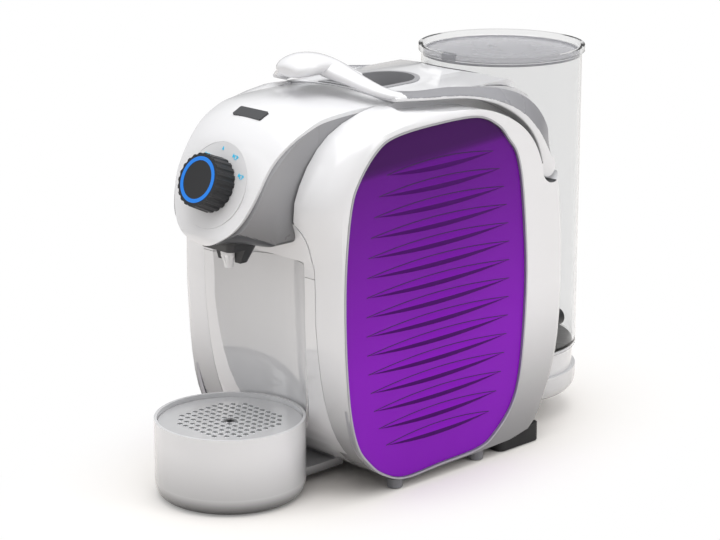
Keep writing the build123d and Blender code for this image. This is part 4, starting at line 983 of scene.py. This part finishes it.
def make_floor():
    """A pale floor that fades to white away from the machine."""
    mesh = bpy.data.meshes.new("floor")
    mesh.from_pydata([(-FLOOR_HALF, -FLOOR_HALF, 0), (FLOOR_HALF, -FLOOR_HALF, 0),
                      (FLOOR_HALF, FLOOR_HALF, 0), (-FLOOR_HALF, FLOOR_HALF, 0)],
                     [], [(0, 1, 2, 3)])
    floor = add_object("floor", mesh)
    floor.location.z = -FLOOR_DROP
    material = bpy.data.materials.new("floor")
    material.use_nodes = True
    mesh.materials.append(material)
    tree = material.node_tree
    shader = fill(tree, tree.nodes["Principled BSDF"], {"Base Color": FLOOR_COLOUR,
                                                        "Roughness": FLOOR_ROUGHNESS})
    oval = add(tree, "ShaderNodeVectorMath", {0: object_place(tree), 1: FADE_SQUASH},
               operation="MULTIPLY")
    far = add(tree, "ShaderNodeVectorMath", {0: oval.outputs["Vector"]}, operation="LENGTH")
    fade = add(tree, "ShaderNodeMapRange", {
        "Value": far.outputs["Value"], "From Min": FADE_START, "From Max": FADE_END},
        interpolation_type="SMOOTHSTEP")
    mix_shaders(tree, reckon(tree, "MULTIPLY", fade.outputs["Result"], seen(tree)), shader,
                add(tree, "ShaderNodeEmission"), "Material Output")


def make_world(scene):
    """White to the camera and through clear plastic, and a dome that brightens upwards for light
    and gloss."""
    world = bpy.data.worlds.new("studio")
    world.use_nodes = True
    scene.world = world
    tree = world.node_tree
    around = add(tree, "ShaderNodeTexCoord").outputs["Generated"]
    dome = add(tree, "ShaderNodeMapRange", {
        "Value": split(tree, around)["Z"], "From Min": DOME_LOW, "From Max": DOME_HIGH,
        "To Min": DOME_DIM, "To Max": DOME_BRIGHT})
    plain = fill(tree, tree.nodes["Background"], {"Color": WHITE,
                                                  "Strength": dome.outputs["Result"]})
    white = add(tree, "ShaderNodeBackground", {"Color": WHITE})
    mix_shaders(tree, seen(tree), plain, white, "World Output")


def make_lamps():
    """Soft boxes above, at the front left and at the right."""
    for name, place, size, power in LAMPS:
        data = bpy.data.lights.new(name, "AREA")
        data.shape = "RECTANGLE"
        data.size, data.size_y = size
        data.energy = power
        lamp = add_object(name, data)
        lamp.location = place
        lamp.rotation_euler = turned_along(Vector(LAMP_AIM) - Vector(place))


# ---- add-on -------------------------------------------------------------------------------------
OPERATORS = (PODMACHINE_OT_stage, PODMACHINE_OT_case, PODMACHINE_OT_panels, PODMACHINE_OT_head,
             PODMACHINE_OT_dial, PODMACHINE_OT_spout, PODMACHINE_OT_lever, PODMACHINE_OT_drawer,
             PODMACHINE_OT_tank, PODMACHINE_OT_works)


class PODMACHINE_PT_panel(bpy.types.Panel):
    """Lists the makers of the machine's pieces"""

    bl_idname = "PODMACHINE_PT_panel"
    bl_label = "Pod coffee machine"
    bl_space_type = "VIEW_3D"
    bl_region_type = "UI"
    bl_category = "Coffee"

    def draw(self, context):
        column = self.layout.column()
        for operator in OPERATORS:
            column.operator(operator.bl_idname)
        for group in (finishes(), sizes()):
            for key in group.__annotations__:
                column.prop(group, key)


CLASSES = (PodFinishes, PodSizes, *OPERATORS, PODMACHINE_PT_panel)


def register():
    for made in CLASSES:
        bpy.utils.register_class(made)
    bpy.types.Scene.pod_finishes = PointerProperty(type=PodFinishes)
    bpy.types.Scene.pod_sizes = PointerProperty(type=PodSizes)


def unregister():
    del bpy.types.Scene.pod_sizes
    del bpy.types.Scene.pod_finishes
    for made in reversed(CLASSES):
        bpy.utils.unregister_class(made)


def main():
    """Makes every piece."""
    register()
    bpy.ops.podmachine.stage()
    bpy.ops.podmachine.case()
    bpy.ops.podmachine.panels()
    bpy.ops.podmachine.head()
    bpy.ops.podmachine.dial()
    bpy.ops.podmachine.spout()
    bpy.ops.podmachine.lever()
    bpy.ops.podmachine.drawer()
    bpy.ops.podmachine.tank()
    bpy.ops.podmachine.works()


if __name__ == "__main__":
    main()
